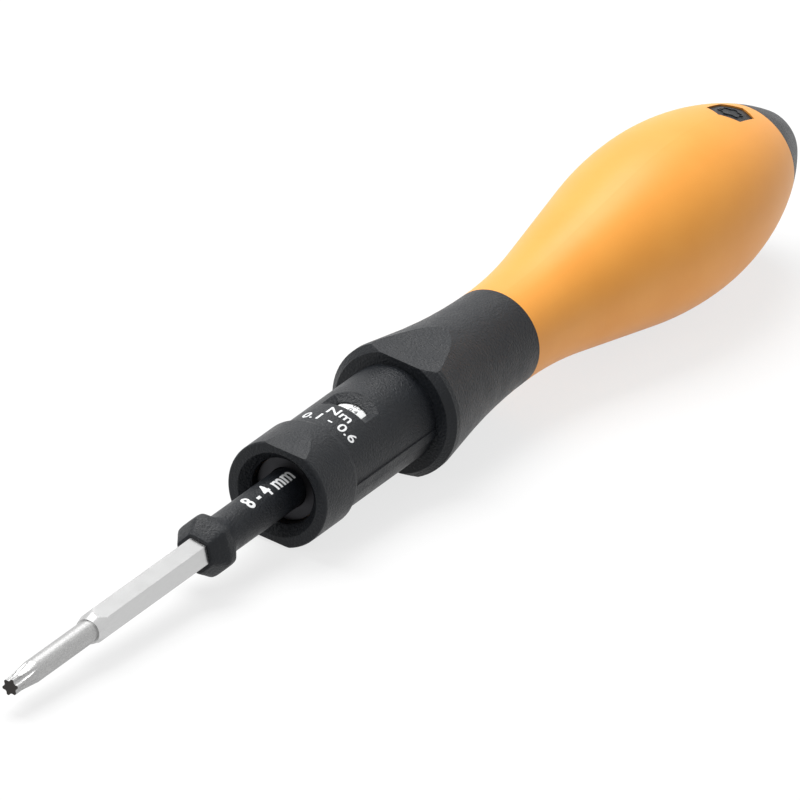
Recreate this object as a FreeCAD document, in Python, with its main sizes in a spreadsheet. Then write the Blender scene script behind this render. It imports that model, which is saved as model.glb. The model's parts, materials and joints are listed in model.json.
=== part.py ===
import FreeCAD, Part
import math
import os
import Sketcher
from FreeCAD import Placement, Rotation, Vector

# Torque screwdriver with a pull-out blade, millimetres.
#
# Tool frame: X runs along the tool from the blade's tip to the butt, X = 0 at the mouth of the chuck.
# Z points out of the scale window.  Every sub-part is built in the tool frame and then laid down by one
# common placement: the tool rests on its belly and on the rim of its front ring, nose down by the
# settling angle, with the middle of its footprint at the origin.

DRIVING_SIZES = [
    # front ring and sleeve
    ("ring_radius", 7.37, "outside of the ring round the mouth"),
    ("ring_length", 7.46, "ring, mouth to rear edge"),
    ("ring_edge", 0.32, "rounding of the ring's front edge"),
    ("ring_taper", 1.4, "length over which the ring runs down to the sleeve"),
    ("ring_flat", 6.65, "axis to the ring's slanted flat at the mouth"),
    ("ring_flat_run", 5.0, "length of the slanted flat"),
    ("mouth_radius", 5.85, "outer edge of the conical mouth"),
    ("mouth_depth", 1.5, "depth of the conical mouth"),
    ("nose_bore", 4.6, "radius of the bore behind the mouth"),
    ("nose_bore_end", 8.2, "rear end of the narrow front bore"),
    ("sleeve_radius", 6.76, "outside of the front sleeve"),
    ("sleeve_bore", 5.75, "inside of the front sleeve"),
    ("sleeve_end", 28.7, "mouth to the flange's front face"),
    ("spigot_radius", 6.35, "outside of the sleeve's spigot in the handle"),
    ("spigot_length", 7.0, "length of that spigot"),
    ("rib_width", 1.5, "raised rib along each side of the sleeve"),
    ("rib_rise", 0.14, "height of the rib"),
    # scale window
    ("window_start", 14.85, "mouth to the window's front edge"),
    ("window_length", 2.65, "length of the opening"),
    ("window_width", 3.75, "width of the opening"),
    ("scoop_length", 4.85, "length of the scooped recess at the surface"),
    ("scoop_width", 6.7, "width of the scooped recess at the surface"),
    # flange and collar
    ("flange_radius", 9.35, "outside of the anti-roll flange"),
    ("flange_flat", 7.9, "axis to the flange's flats"),
    ("flange_bevel", 0.95, "bevel of the flange's front rim"),
    ("flange_rim", 0.9, "length of the flange's rim"),
    ("collar_cone_end", 39.0, "mouth to the end of the collar's straight taper"),
    ("collar_cone_radius", 8.05, "collar at the end of the straight taper"),
    ("grip_start", 55.0, "mouth to the front edge of the soft grip"),
    # bulb of the handle
    ("waist_station", 56.0, "mouth to the slimmest section"),
    ("waist_radius", 6.87, "radius of the slimmest section"),
    ("waist_sweep", 80.0, "profile radius of the waist"),
    ("belly_station", 98.9, "mouth to the thickest section"),
    ("belly_radius", 12.22, "radius of the thickest section"),
    ("belly_sweep", 67.5, "profile radius of the belly towards the waist"),
    ("heel_sweep", 54.0, "profile radius of the belly towards the butt"),
    ("cap_start", 119.5, "mouth to the front edge of the end cap"),
    ("handle_end", 127.0, "mouth to the end of the butt"),
    ("cap_edge", 0.9, "length of the cap's end bevel"),
    ("grip_wall", 1.1, "thickness of the soft grip"),
    # bores of the handle core
    ("core_bore", 4.96, "bore that guides the scale sleeve"),
    ("chamber_radius", 5.95, "rear chamber"),
    ("chamber_start", 96.0, "mouth to the chamber's floor"),
    ("keyway_depth", 0.7, "depth of the two keyways in the core's bore"),
    ("keyway_width", 1.6, "width of the keyways"),
    ("keyway_end", 76.0, "mouth to the keyways' blind end"),
    # blade
    ("hex_flats", 4.0, "hexagon shank across its flats"),
    ("blade_length", 175.0, "whole blade"),
    ("blade_reach", 65.5, "blade's tip ahead of the mouth"),
    ("blade_clock", 36.5, "angle between the blade's wings and the window, degrees"),
    ("neck_radius", 1.53, "round neck"),
    ("neck_length", 18.8, "tip to the shoulder"),
    ("shoulder_length", 2.2, "conical shoulder onto the hexagon"),
    ("star_radius", 1.155, "hexalobular tip over its lobes"),
    ("star_root", 0.84, "hexalobular tip over its flutes"),
    ("star_flute", 0.40, "profile radius of a flute"),
    ("star_length", 1.6, "parallel length of the hexalobular tip"),
    ("star_runout", 3.6, "length over which the flutes run out into the neck"),
    # plastic grip on the blade
    ("boss_start", 20.3, "front of the blade grip ahead of the mouth"),
    ("boss_length", 1.7, "slim front of the blade grip"),
    ("head_slope", 1.6, "slope from the slim front up to the head"),
    ("head_length", 2.5, "full head with its two wings"),
    ("head_fillet", 1.9, "run from the head down to the body"),
    ("head_half_width", 3.85, "half the width over the wings"),
    ("head_half_height", 3.1, "half the height of the head"),
    ("boss_half_height", 2.55, "half the height of the slim front"),
    ("grip_body_radius", 2.75, "round body of the blade grip"),
    ("grip_body_end", 10.0, "rear end of the blade grip behind the mouth"),
    # drive spindle
    ("spindle_start", 2.6, "mouth to the spindle's front face"),
    ("spindle_flange", 4.4, "thrust flange in front of the bush"),
    ("spindle_head_radius", 3.9, "spindle where it runs in the front bush"),
    ("clip_radius", 4.3, "outside of the clip behind the front bush"),
    ("clip_width", 0.6, "thickness of that clip"),
    ("clip_depth", 0.35, "depth of the clip's groove in the spindle"),
    ("spindle_head_end", 11.4, "rear end of the spindle's head"),
    ("spindle_tail_radius", 2.9, "slim spindle tube"),
    ("spindle_end", 43.0, "rear end of the spindle"),
    ("bush_start", 4.2, "mouth to the front bush"),
    ("blade_ring_station", 20.0, "mouth to the ring that holds the blade"),
    ("blade_ring_width", 0.8, "width of that ring"),
    # slipping clutch
    ("cam_start", 38.0, "front face of the driven cam"),
    ("cam_length", 2.6, "thickness of each cam disc"),
    ("cam_radius", 4.3, "outside of the cam discs"),
    ("ball_stand", 0.32, "driven cam's face to the middle of the balls"),
    ("ball_radius", 0.5, "clutch balls"),
    ("ball_pitch", 3.65, "pitch radius of the clutch balls"),
    ("ball_count", 6, "number of clutch balls"),
    ("cage_thickness", 0.4, "thickness of the ball cage"),
    ("washer_thickness", 0.6, "thrust washers"),
    # spring, nut and scale
    ("wire_radius", 0.28, "spring wire"),
    ("coil_radius", 3.98, "mean radius of the spring"),
    ("coil_count", 9, "turns of the spring"),
    ("nut_start", 62.0, "mouth to the preload nut"),
    ("nut_length", 6.0, "length of the preload nut"),
    ("nut_spigot", 1.4, "length of the nut's front spigot"),
    ("scale_outer", 4.9, "outside of the scale sleeve's tube"),
    ("scale_inner", 4.45, "inside of the scale sleeve"),
    ("drum_radius", 5.6, "outside of the scale drum in the window"),
    ("drum_start", 11.6, "mouth to the drum's front edge"),
    ("drum_end", 21.0, "mouth to the drum's rear edge"),
    ("scale_travel", 3.0, "travel of the scale each way"),
    # setting screw
    ("screw_start", 51.0, "mouth to the front end of the setting screw"),
    ("screw_radius", 3.5, "outside of the threaded tube"),
    ("screw_bore", 2.6, "bore that clears the blade"),
    ("screw_head_radius", 5.2, "thrust flange"),
    ("screw_head_length", 2.4, "length of the thrust flange"),
    ("screw_tail_radius", 4.0, "tail that turns in the end cap"),
    ("screw_end", 119.6, "mouth to the rear end of the tail"),
    ("socket_flats", 4.1, "hexagon socket across its flats"),
    ("socket_depth", 6.0, "depth of the hexagon socket"),
    ("socket_web", 2.4, "web in front of the socket"),
    ("bearing_length", 3.0, "rear bearing bush"),
    ("lock_ring_length", 1.6, "lock ring behind the thrust washers"),
    ("key_hole_radius", 3.0, "hole in the end cap for the setting key"),
    ("cap_spigot", 7.5, "length of the end cap's spigot"),
    # symbol pad in the grip
    ("pad_station", 113.6, "mouth to the middle of the symbol pad"),
    ("pad_length", 7.2, "length of the pad along the tool"),
    ("pad_width", 5.2, "width of the pad"),
    ("pad_point", 1.5, "length of the pad's pointed ends"),
    ("pad_recess", 0.25, "depth of the pad below the grip"),
    ("pad_seat", 0.4, "depth of the pad's seat in the core at its rear end"),
    # fits
    ("running_fit", 0.05, "radial clearance of a running fit"),
    ("sliding_fit", 0.05, "clearance on each flat of a sliding hexagon"),
    ("loose_fit", 0.1, "clearance of a part that only passes through"),
]

doc = FreeCAD.newDocument("torque_screwdriver")
sheet = doc.addObject("Spreadsheet::Sheet", "Dims")
for row, (alias, value, note) in enumerate(DRIVING_SIZES, start=1):
    sheet.set("A%d" % row, note)
    sheet.set("B%d" % row, str(value))
    sheet.setAlias("B%d" % row, alias)
doc.recompute()

SIZE_NAMES = [alias for alias, _, _ in DRIVING_SIZES]
PARTS = []


def bound(text):
    """The expression with every size name pointed at the sheet."""
    words = []
    word = ""
    for letter in text + " ":
        if letter.isalnum() or letter == "_":
            word += letter
            continue
        words.append("Dims." + word if word in SIZE_NAMES else word)
        words.append(letter)
        word = ""
    return "".join(words).strip()


def value(text):
    """The number that an expression over the sheet's sizes gives now."""
    result = sheet.evalExpression(bound(text))
    return float(getattr(result, "Value", result))


# ---------------------------------------------------------------------------------------------------
# sketches


def origin_plane(body, role):
    """The body's own origin plane with that role."""
    return [f for f in body.Origin.OriginFeatures if f.Role == role][0]


def new_sketch(body, name, role="XZ_Plane", offset=None):
    """A sketch on one of the body's origin planes, moved along its normal by an expression."""
    sketch = body.newObject("Sketcher::SketchObject", name)
    sketch.AttachmentSupport = [(origin_plane(body, role), "")]
    sketch.MapMode = "FlatFace"
    if offset is not None:
        sketch.AttachmentOffset = Placement(Vector(0, 0, value(offset)), Rotation())
        sketch.setExpression("AttachmentOffset.Base.z", bound(offset))
    return sketch


def pin_point(sketch, geometry, point, across, up):
    """Place one end of a geometry at two distances from the sketch's origin."""
    for kind, axis, text in (("DistanceX", -2, across), ("DistanceY", -1, up)):
        if text is None:
            continue
        if text == "0":
            sketch.addConstraint(Sketcher.Constraint("PointOnObject", geometry, point, axis))
            continue
        index = sketch.addConstraint(Sketcher.Constraint(kind, -1, 1, geometry, point, value(text)))
        sketch.setExpression("Constraints[%d]" % index, bound(text))


def polygon(sketch, corners):
    """A closed outline of straight edges through corners given as pairs of expressions."""
    points = [Vector(value(across), value(up), 0) for across, up in corners]
    count = len(points)
    lines = []
    for index in range(count):
        edge = Part.LineSegment(points[index], points[(index + 1) % count])
        lines.append(sketch.addGeometry(edge, False))
    for index in range(count):
        following = lines[(index + 1) % count]
        sketch.addConstraint(Sketcher.Constraint("Coincident", lines[index], 2, following, 1))
    for line, (across, up) in zip(lines, corners):
        pin_point(sketch, line, 1, across, up)
    return lines


def circle(sketch, radius, across="0", up="0"):
    """A circle with its radius and centre bound to expressions."""
    centre = Vector(value(across), value(up), 0)
    ring = sketch.addGeometry(Part.Circle(centre, Vector(0, 0, 1), value(radius)), False)
    index = sketch.addConstraint(Sketcher.Constraint("Radius", ring, value(radius)))
    sketch.setExpression("Constraints[%d]" % index, bound(radius))
    pin_point(sketch, ring, 3, across, up)
    return ring


def hexagon(sketch, flats, turn=0.0):
    """A regular hexagon across its flats, a corner up when turn is 0."""
    corner = "(%s) / sqrt(3)" % flats
    corners = []
    for index in range(6):
        angle = turn + 60.0 * index
        corners.append(("(%s) * sin(%.1f)" % (corner, angle), "(%s) * cos(%.1f)" % (corner, angle)))
    polygon(sketch, corners)


# ---------------------------------------------------------------------------------------------------
# bodies and features


def new_body(name):
    """A body that becomes one sub-part."""
    body = doc.addObject("PartDesign::Body", name)
    body.Label = name
    PARTS.append(body)
    return body


def revolve(body, corners, name="outline"):
    """Turn an outline of (station, radius) corners about the tool's axis."""
    sketch = new_sketch(body, body.Label + "_" + name)
    polygon(sketch, corners)
    return revolve_sketch(body, sketch)


def revolve_sketch(body, sketch):
    """Turn a finished sketch about the tool's axis."""
    turned = body.newObject("PartDesign::Revolution", sketch.Name + "_turned")
    turned.Profile = sketch
    turned.ReferenceAxis = (sketch, ["H_Axis"])
    turned.Angle = 360.0
    doc.recompute()
    return turned


def groove(body, corners, name):
    """Turn an outline about the tool's axis and take it away."""
    sketch = new_sketch(body, body.Label + "_" + name)
    polygon(sketch, corners)
    before = body.Shape.Volume
    cut = body.newObject("PartDesign::Groove", sketch.Name + "_cut")
    cut.Profile = sketch
    cut.ReferenceAxis = (sketch, ["H_Axis"])
    cut.Angle = 360.0
    doc.recompute()
    require_less(body, before, name)
    return cut


def require_less(body, before, name):
    """A cut has to take material away."""
    if body.Shape.Volume >= before - 1e-6:
        raise RuntimeError("%s: the cut %s takes nothing away" % (body.Label, name))


def pad(body, sketch, length):
    """Raise a sketch on the YZ plane towards the butt."""
    raised = body.newObject("PartDesign::Pad", sketch.Name + "_raised")
    raised.Profile = sketch
    raised.Length = value(length)
    raised.setExpression("Length", bound(length))
    doc.recompute()
    return raised


def pocket(body, sketch, length, away=True, midplane=False):
    """Cut a sketch by a length, along the sketch's normal when away is set."""
    before = body.Shape.Volume
    cut = body.newObject("PartDesign::Pocket", sketch.Name + "_cut")
    cut.Profile = sketch
    cut.Length = value(length)
    cut.setExpression("Length", bound(length))
    cut.Midplane = midplane
    cut.Reversed = away and not midplane
    doc.recompute()
    require_less(body, before, sketch.Name)
    return cut


def ring(name, start, end, inner, outer):
    """A plain turned ring between two stations."""
    body = new_body(name)
    revolve(body, [(start, inner), (end, inner), (end, outer), (start, outer)])
    return body


# ---------------------------------------------------------------------------------------------------
# profile of the bulb


def bulb_angle(inset):
    """Slope of the straight run between the waist's arc and the belly's arc, in radians."""
    reach = value("belly_station - waist_station")
    waist_sweep = value("waist_sweep + %s" % inset)
    belly_sweep = value("belly_sweep - %s" % inset)
    rise = value("belly_radius - waist_radius") - waist_sweep - belly_sweep
    return math.atan2(rise, reach) + math.asin((waist_sweep + belly_sweep) / math.hypot(reach, rise))


def arc_between(sketch, centre, radius, start, end):
    """An arc of the sketch, drawn anticlockwise from start to end."""
    first = math.atan2(start.y - centre.y, start.x - centre.x)
    last = math.atan2(end.y - centre.y, end.x - centre.x)
    whole = Part.Circle(centre, Vector(0, 0, 1), radius)
    return sketch.addGeometry(Part.ArcOfCircle(whole, first, last), False)


def bulb_run(sketch, inset, start, end):
    """The bulb's profile from one station to another, moved inwards by inset.

    Four pieces: the waist's arc, a straight run, the belly's arc and the heel's arc, each tangent to
    the next.  Returns (first geometry, its free end, last geometry, its free end).
    """
    waist_sweep = "waist_sweep + %s" % inset
    belly_sweep = "belly_sweep - %s" % inset
    heel_sweep = "heel_sweep - %s" % inset
    slope = bulb_angle(inset)
    waist_centre = Vector(value("waist_station"), value("waist_radius + waist_sweep"), 0)
    belly_centre = Vector(value("belly_station"), value("belly_radius - belly_sweep"), 0)
    heel_centre = Vector(value("belly_station"), value("belly_radius - heel_sweep"), 0)
    normal = Vector(math.sin(slope), -math.cos(slope), 0)
    leave_waist = waist_centre + normal * value(waist_sweep)
    meet_belly = belly_centre - normal * value(belly_sweep)
    summit = Vector(value("belly_station"), value("belly_radius - %s" % inset), 0)
    front = on_circle(waist_centre, value(waist_sweep), value(start), -1)
    back = on_circle(heel_centre, value(heel_sweep), value(end), 1)
    waist = arc_between(sketch, waist_centre, value(waist_sweep), front, leave_waist)
    line = sketch.addGeometry(Part.LineSegment(leave_waist, meet_belly), False)
    belly = arc_between(sketch, belly_centre, value(belly_sweep), summit, meet_belly)
    heel = arc_between(sketch, heel_centre, value(heel_sweep), back, summit)
    for arc, radius, centre in (
        (waist, waist_sweep, ("waist_station", "waist_radius + waist_sweep")),
        (belly, belly_sweep, ("belly_station", "belly_radius - belly_sweep")),
        (heel, heel_sweep, ("belly_station", None)),
    ):
        index = sketch.addConstraint(Sketcher.Constraint("Radius", arc, value(radius)))
        sketch.setExpression("Constraints[%d]" % index, bound(radius))
        pin_point(sketch, arc, 3, *centre)
    sketch.addConstraint(Sketcher.Constraint("Tangent", waist, 2, line, 1))
    sketch.addConstraint(Sketcher.Constraint("Tangent", line, 2, belly, 2))
    sketch.addConstraint(Sketcher.Constraint("Coincident", belly, 1, heel, 2))
    pin_point(sketch, belly, 1, "belly_station", None)
    pin_point(sketch, waist, 1, start, None)
    pin_point(sketch, heel, 1, end, None)
    return (waist, 1), (heel, 1)


def on_circle(centre, radius, station, side):
    """The point of a circle at a station, above its centre for side 1 and below for side -1."""
    return Vector(station, centre.y + side * math.sqrt(radius**2 - (station - centre.x) ** 2), 0)


def point_of(sketch, end):
    """Where one end of a geometry lies."""
    return sketch.getPoint(end[0], end[1])


def chain(sketch, first, corners, last):
    """Straight edges from one free end through corners to another free end."""
    points = [point_of(sketch, first)]
    points += [Vector(value(across), value(up), 0) for across, up in corners]
    points.append(point_of(sketch, last))
    previous = first
    for index in range(len(points) - 1):
        line = sketch.addGeometry(Part.LineSegment(points[index], points[index + 1]), False)
        sketch.addConstraint(Sketcher.Constraint("Coincident", previous[0], previous[1], line, 1))
        if index < len(corners):
            pin_point(sketch, line, 2, *corners[index])
        previous = (line, 2)
    sketch.addConstraint(Sketcher.Constraint("Coincident", previous[0], previous[1], last[0], last[1]))


# ---------------------------------------------------------------------------------------------------
# handle body


def make_front_sleeve():
    """Black front sleeve: ring with a conical mouth, two slanted flats and the scooped scale window."""
    body = new_body("front_sleeve")
    sketch = new_sketch(body, "front_sleeve_outline")
    edge_centre = Vector(value("ring_edge"), value("ring_radius - ring_edge"), 0)
    edge_start = Vector(0, value("ring_radius - ring_edge"), 0)
    edge_end = Vector(value("ring_edge"), value("ring_radius"), 0)
    edge = arc_between(sketch, edge_centre, value("ring_edge"), edge_end, edge_start)
    index = sketch.addConstraint(Sketcher.Constraint("Radius", edge, value("ring_edge")))
    sketch.setExpression("Constraints[%d]" % index, bound("ring_edge"))
    pin_point(sketch, edge, 3, "ring_edge", "ring_radius - ring_edge")
    pin_point(sketch, edge, 1, "ring_edge", None)
    pin_point(sketch, edge, 2, None, "ring_radius - ring_edge")
    chain(
        sketch,
        (edge, 1),
        [
            ("ring_length", "ring_radius"),
            ("ring_length + ring_taper", "sleeve_radius"),
            ("sleeve_end", "sleeve_radius"),
            ("sleeve_end", "spigot_radius"),
            ("sleeve_end + spigot_length", "spigot_radius"),
            ("sleeve_end + spigot_length", "sleeve_bore"),
            ("nose_bore_end", "sleeve_bore"),
            ("nose_bore_end", "nose_bore"),
            ("mouth_depth", "nose_bore"),
            ("0", "mouth_radius"),
        ],
        (edge, 2),
    )
    revolve_sketch(body, sketch)
    add_side_ribs(body)
    cut_ring_flats(body)
    cut_scale_window(body)


def add_side_ribs(body):
    """A low rib along each side, from the ring back to the flange."""
    sketch = new_sketch(body, "front_sleeve_ribs", "YZ_Plane", "ring_length")
    for side in ("", "-"):
        polygon(
            sketch,
            [
                (side + "(sleeve_bore + sleeve_radius) / 2", "-rib_width / 2"),
                (side + "(sleeve_radius + rib_rise)", "-rib_width / 2"),
                (side + "(sleeve_radius + rib_rise)", "rib_width / 2"),
                (side + "(sleeve_bore + sleeve_radius) / 2", "rib_width / 2"),
            ],
        )
    pad(body, sketch, "sleeve_end - ring_length")


def cut_ring_flats(body):
    """Two flats that rise from the mouth to the ring's full radius."""
    sketch = new_sketch(body, "front_sleeve_flats")
    for side in ("", "-"):
        polygon(
            sketch,
            [
                ("-ring_edge", side + "(ring_flat - (ring_radius - ring_flat) / ring_flat_run * ring_edge)"),
                ("ring_flat_run", side + "ring_radius"),
                ("ring_flat_run", side + "(ring_radius + ring_edge)"),
                ("-ring_edge", side + "(ring_radius + ring_edge)"),
            ],
        )
    pocket(body, sketch, "4 * ring_radius", midplane=True)


def window_rectangle(body, name, height, length, width):
    """One level of the window: a rectangle that keeps the front edge upright."""
    sketch = new_sketch(body, name, "XY_Plane", height)
    polygon(
        sketch,
        [
            ("window_start", "-(%s) / 2" % width),
            ("window_start + %s" % length, "-(%s) / 2" % width),
            ("window_start + %s" % length, "(%s) / 2" % width),
            ("window_start", "(%s) / 2" % width),
        ],
    )
    return sketch


def cut_scale_window(body):
    """Opening through the top wall with a scoop whose sides and rear slope out to the surface."""
    sill = "(sqrt(sleeve_bore^2 - window_width^2 / 4) - rib_rise)"
    brim = "sqrt(sleeve_radius^2 - scoop_width^2 / 4)"
    spread = "(scoop_width - window_width) / (%s - %s)" % (brim, sill)
    top_width = "window_width + %s * (sleeve_radius + rib_rise - %s)" % (spread, sill)
    low = window_rectangle(body, "front_sleeve_scoop_floor", sill, "window_length", "window_width")
    high = window_rectangle(body, "front_sleeve_scoop_top", "sleeve_radius + rib_rise", "scoop_length", top_width)
    before = body.Shape.Volume
    scoop = body.newObject("PartDesign::SubtractiveLoft", "front_sleeve_scoop")
    scoop.Profile = low
    scoop.Sections = [high]
    scoop.Ruled = True
    doc.recompute()
    require_less(body, before, "scoop")


def make_handle_core():
    """Hard black core: flange with two flats, collar, and the tube that carries the soft grip."""
    body = new_body("handle_core")
    sketch = new_sketch(body, "handle_core_outline")
    inner = bulb_run(sketch, "grip_wall", "grip_start", "cap_start")
    collar_centre = Vector(value("waist_station"), 0, 0)
    collar_start = Vector(value("collar_cone_end"), value("collar_cone_radius"), 0)
    reach = value("waist_station - collar_cone_end")
    drop = value("collar_cone_radius - waist_radius")
    collar_sweep = (reach**2 + drop**2) / (2.0 * drop)
    collar_centre.y = value("waist_radius") + collar_sweep
    collar_stop = on_circle(collar_centre, collar_sweep, value("grip_start"), -1)
    collar = arc_between(sketch, collar_centre, collar_sweep, collar_start, collar_stop)
    pin_point(sketch, collar, 1, "collar_cone_end", "collar_cone_radius")
    pin_point(sketch, collar, 3, "waist_station", None)
    pin_point(sketch, collar, 2, "grip_start", None)
    index = sketch.addConstraint(Sketcher.Constraint("Radius", collar, collar_sweep))
    sweep = "((waist_station - collar_cone_end)^2 + (collar_cone_radius - waist_radius)^2)"
    sketch.setExpression(
        "Constraints[%d]" % index, bound(sweep + " / (2 * (collar_cone_radius - waist_radius))")
    )
    chain(sketch, (collar, 2), [], inner[0])
    chain(
        sketch,
        inner[1],
        [
            ("cap_start", "chamber_radius"),
            ("chamber_start", "chamber_radius"),
            ("chamber_start", "core_bore"),
            ("sleeve_end + spigot_length", "core_bore"),
            ("sleeve_end + spigot_length", "spigot_radius"),
            ("sleeve_end", "spigot_radius"),
            ("sleeve_end", "flange_radius - flange_bevel"),
            ("sleeve_end + flange_bevel", "flange_radius"),
            ("sleeve_end + flange_bevel + flange_rim", "flange_radius"),
        ],
        (collar, 1),
    )
    revolve_sketch(body, sketch)
    cut_flange_flats(body)
    cut_keyways(body)
    cut_pad_seat(body)


def cut_flange_flats(body):
    """Two flats that stop the tool from rolling away."""
    sketch = new_sketch(body, "handle_core_flats")
    for side in ("", "-"):
        polygon(
            sketch,
            [
                ("sleeve_end - flange_bevel", side + "flange_flat"),
                ("grip_start - flange_bevel", side + "flange_flat"),
                ("grip_start - flange_bevel", side + "(flange_radius + flange_bevel)"),
                ("sleeve_end - flange_bevel", side + "(flange_radius + flange_bevel)"),
            ],
        )
    pocket(body, sketch, "4 * flange_radius", midplane=True)


def cut_keyways(body):
    """Two keyways in the bore for the lugs of the keyed cam and the preload nut."""
    sketch = new_sketch(body, "handle_core_keyways", "YZ_Plane", "sleeve_end + spigot_length")
    for side in ("", "-"):
        polygon(
            sketch,
            [
                (side + "core_bore / 2", "-keyway_width / 2"),
                (side + "(core_bore + keyway_depth)", "-keyway_width / 2"),
                (side + "(core_bore + keyway_depth)", "keyway_width / 2"),
                (side + "core_bore / 2", "keyway_width / 2"),
            ],
        )
    pocket(body, sketch, "keyway_end - sleeve_end - spigot_length")


def pad_outline(sketch, clearance):
    """Hexagon with two long sides, pointed along the tool."""
    half = "(pad_length / 2 - %s)" % clearance
    wide = "(pad_width / 2 - %s)" % clearance
    straight = "(pad_length / 2 - pad_point)"
    polygon(
        sketch,
        [
            ("pad_station - " + half, "0"),
            ("pad_station - " + straight, "-" + wide),
            ("pad_station + " + straight, "-" + wide),
            ("pad_station + " + half, "0"),
            ("pad_station + " + straight, wide),
            ("pad_station - " + straight, wide),
        ],
    )


PAD_FLOOR = "(belly_radius - grip_wall - heel_sweep + sqrt((heel_sweep - grip_wall)^2"
PAD_FLOOR += " - (pad_station + pad_length / 2 - belly_station)^2) - pad_seat)"


def cut_pad_seat(body):
    """Flat seat in the core under the symbol pad."""
    sketch = new_sketch(body, "handle_core_pad_seat", "XY_Plane", PAD_FLOOR)
    pad_outline(sketch, "0")
    pocket(body, sketch, "grip_wall * 4")


def make_grip_shell():
    """Soft skin of the bulb, with a window for the symbol pad."""
    body = new_body("grip_shell")
    sketch = new_sketch(body, "grip_shell_outline")
    outer = bulb_run(sketch, "0", "grip_start", "cap_start")
    inner = bulb_run(sketch, "grip_wall", "grip_start", "cap_start")
    chain(sketch, outer[0], [], inner[0])
    chain(sketch, outer[1], [], inner[1])
    revolve_sketch(body, sketch)
    window = new_sketch(body, "grip_shell_pad_window", "XY_Plane", PAD_FLOOR)
    pad_outline(window, "0")
    pocket(body, window, "grip_wall * 8")


def make_symbol_pad():
    """Hard pad that shows through the grip near the butt, its top following the bulb."""
    body = new_body("symbol_pad")
    sketch = new_sketch(body, "symbol_pad_outline", "XY_Plane", PAD_FLOOR)
    pad_outline(sketch, "0")
    pad(body, sketch, "grip_wall * 8")
    heel = "belly_radius - heel_sweep"
    top = "(heel_sweep - pad_recess)"
    trim = new_sketch(body, "symbol_pad_trim")
    centre = Vector(value("belly_station"), value(heel), 0)
    start = value("pad_station - pad_length")
    stop = value("pad_station + pad_length")
    crown = arc_between(
        trim, centre, value(top), on_circle(centre, value(top), stop, 1), on_circle(centre, value(top), start, 1)
    )
    pin_point(trim, crown, 3, "belly_station", heel)
    pin_point(trim, crown, 1, "pad_station + pad_length", None)
    pin_point(trim, crown, 2, "pad_station - pad_length", None)
    index = trim.addConstraint(Sketcher.Constraint("Radius", crown, value(top)))
    trim.setExpression("Constraints[%d]" % index, bound(top))
    chain(
        trim,
        (crown, 1),
        [
            ("pad_station + pad_length", "belly_radius + grip_wall * 8"),
            ("pad_station - pad_length", "belly_radius + grip_wall * 8"),
        ],
        (crown, 2),
    )
    before = body.Shape.Volume
    cut = body.newObject("PartDesign::Groove", "symbol_pad_crown")
    cut.Profile = trim
    cut.ReferenceAxis = (trim, ["H_Axis"])
    cut.Angle = 360.0
    doc.recompute()
    require_less(body, before, "crown")


def make_end_cap():
    """Black cap that carries the bulb's line on to the butt, with the hole for the setting key."""
    body = new_body("end_cap")
    sketch = new_sketch(body, "end_cap_outline")
    centre = Vector(value("belly_station"), value("belly_radius - heel_sweep"), 0)
    sweep = value("heel_sweep")
    front = on_circle(centre, sweep, value("cap_start"), 1)
    back = on_circle(centre, sweep, value("handle_end - cap_edge"), 1)
    heel = arc_between(sketch, centre, sweep, back, front)
    pin_point(sketch, heel, 3, "belly_station", "belly_radius - heel_sweep")
    pin_point(sketch, heel, 1, "handle_end - cap_edge", None)
    pin_point(sketch, heel, 2, "cap_start", None)
    index = sketch.addConstraint(Sketcher.Constraint("Radius", heel, sweep))
    sketch.setExpression("Constraints[%d]" % index, bound("heel_sweep"))
    rim = "sqrt(heel_sweep^2 - (handle_end - cap_edge - belly_station)^2) + belly_radius - heel_sweep - cap_edge"
    chain(
        sketch,
        (heel, 2),
        [
            ("cap_start", "chamber_radius"),
            ("cap_start - cap_spigot", "chamber_radius"),
            ("cap_start - cap_spigot", "screw_tail_radius + running_fit"),
            ("screw_end + 4 * loose_fit", "screw_tail_radius + running_fit"),
            ("screw_end + 4 * loose_fit", "key_hole_radius"),
            ("handle_end", "key_hole_radius"),
            ("handle_end", rim),
        ],
        (heel, 1),
    )
    revolve_sketch(body, sketch)


def make_bushes():
    """Plain bushes that carry the spindle and the setting screw."""
    ring("front_bush", "bush_start", "nose_bore_end", "spindle_head_radius + running_fit", "nose_bore")
    ring(
        "rear_bearing",
        "chamber_start",
        "chamber_start + bearing_length",
        "screw_radius + running_fit",
        "chamber_radius",
    )


HEAD_START = "chamber_start + bearing_length + washer_thickness"


def make_thrust_parts():
    """Washers on both sides of the setting screw's flange, and the ring that locks them in."""
    ring(
        "thrust_washer_front",
        "chamber_start + bearing_length",
        HEAD_START,
        "screw_radius + running_fit",
        "screw_head_radius + loose_fit",
    )
    back = HEAD_START + " + screw_head_length"
    ring(
        "thrust_washer_rear",
        back,
        back + " + washer_thickness",
        "screw_tail_radius + running_fit",
        "screw_head_radius + loose_fit",
    )
    body = ring(
        "lock_ring",
        back + " + washer_thickness",
        back + " + washer_thickness + lock_ring_length",
        "screw_tail_radius + loose_fit",
        "chamber_radius",
    )
    slots = new_sketch(body, "lock_ring_slots", "YZ_Plane", back + " + washer_thickness + lock_ring_length / 2")
    polygon(
        slots,
        [
            ("-chamber_radius * 2", "-keyway_width / 2"),
            ("chamber_radius * 2", "-keyway_width / 2"),
            ("chamber_radius * 2", "keyway_width / 2"),
            ("-chamber_radius * 2", "keyway_width / 2"),
        ],
    )
    pocket(body, slots, "lock_ring_length")


BALL_STATION = "(cam_start + cam_length + ball_stand)"
KEYED_CAM = "(" + BALL_STATION + " + ball_radius + running_fit)"
SPRING_START = KEYED_CAM + " + cam_length + washer_thickness"
LUG_TIP = "(core_bore + keyway_depth - loose_fit)"


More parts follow.
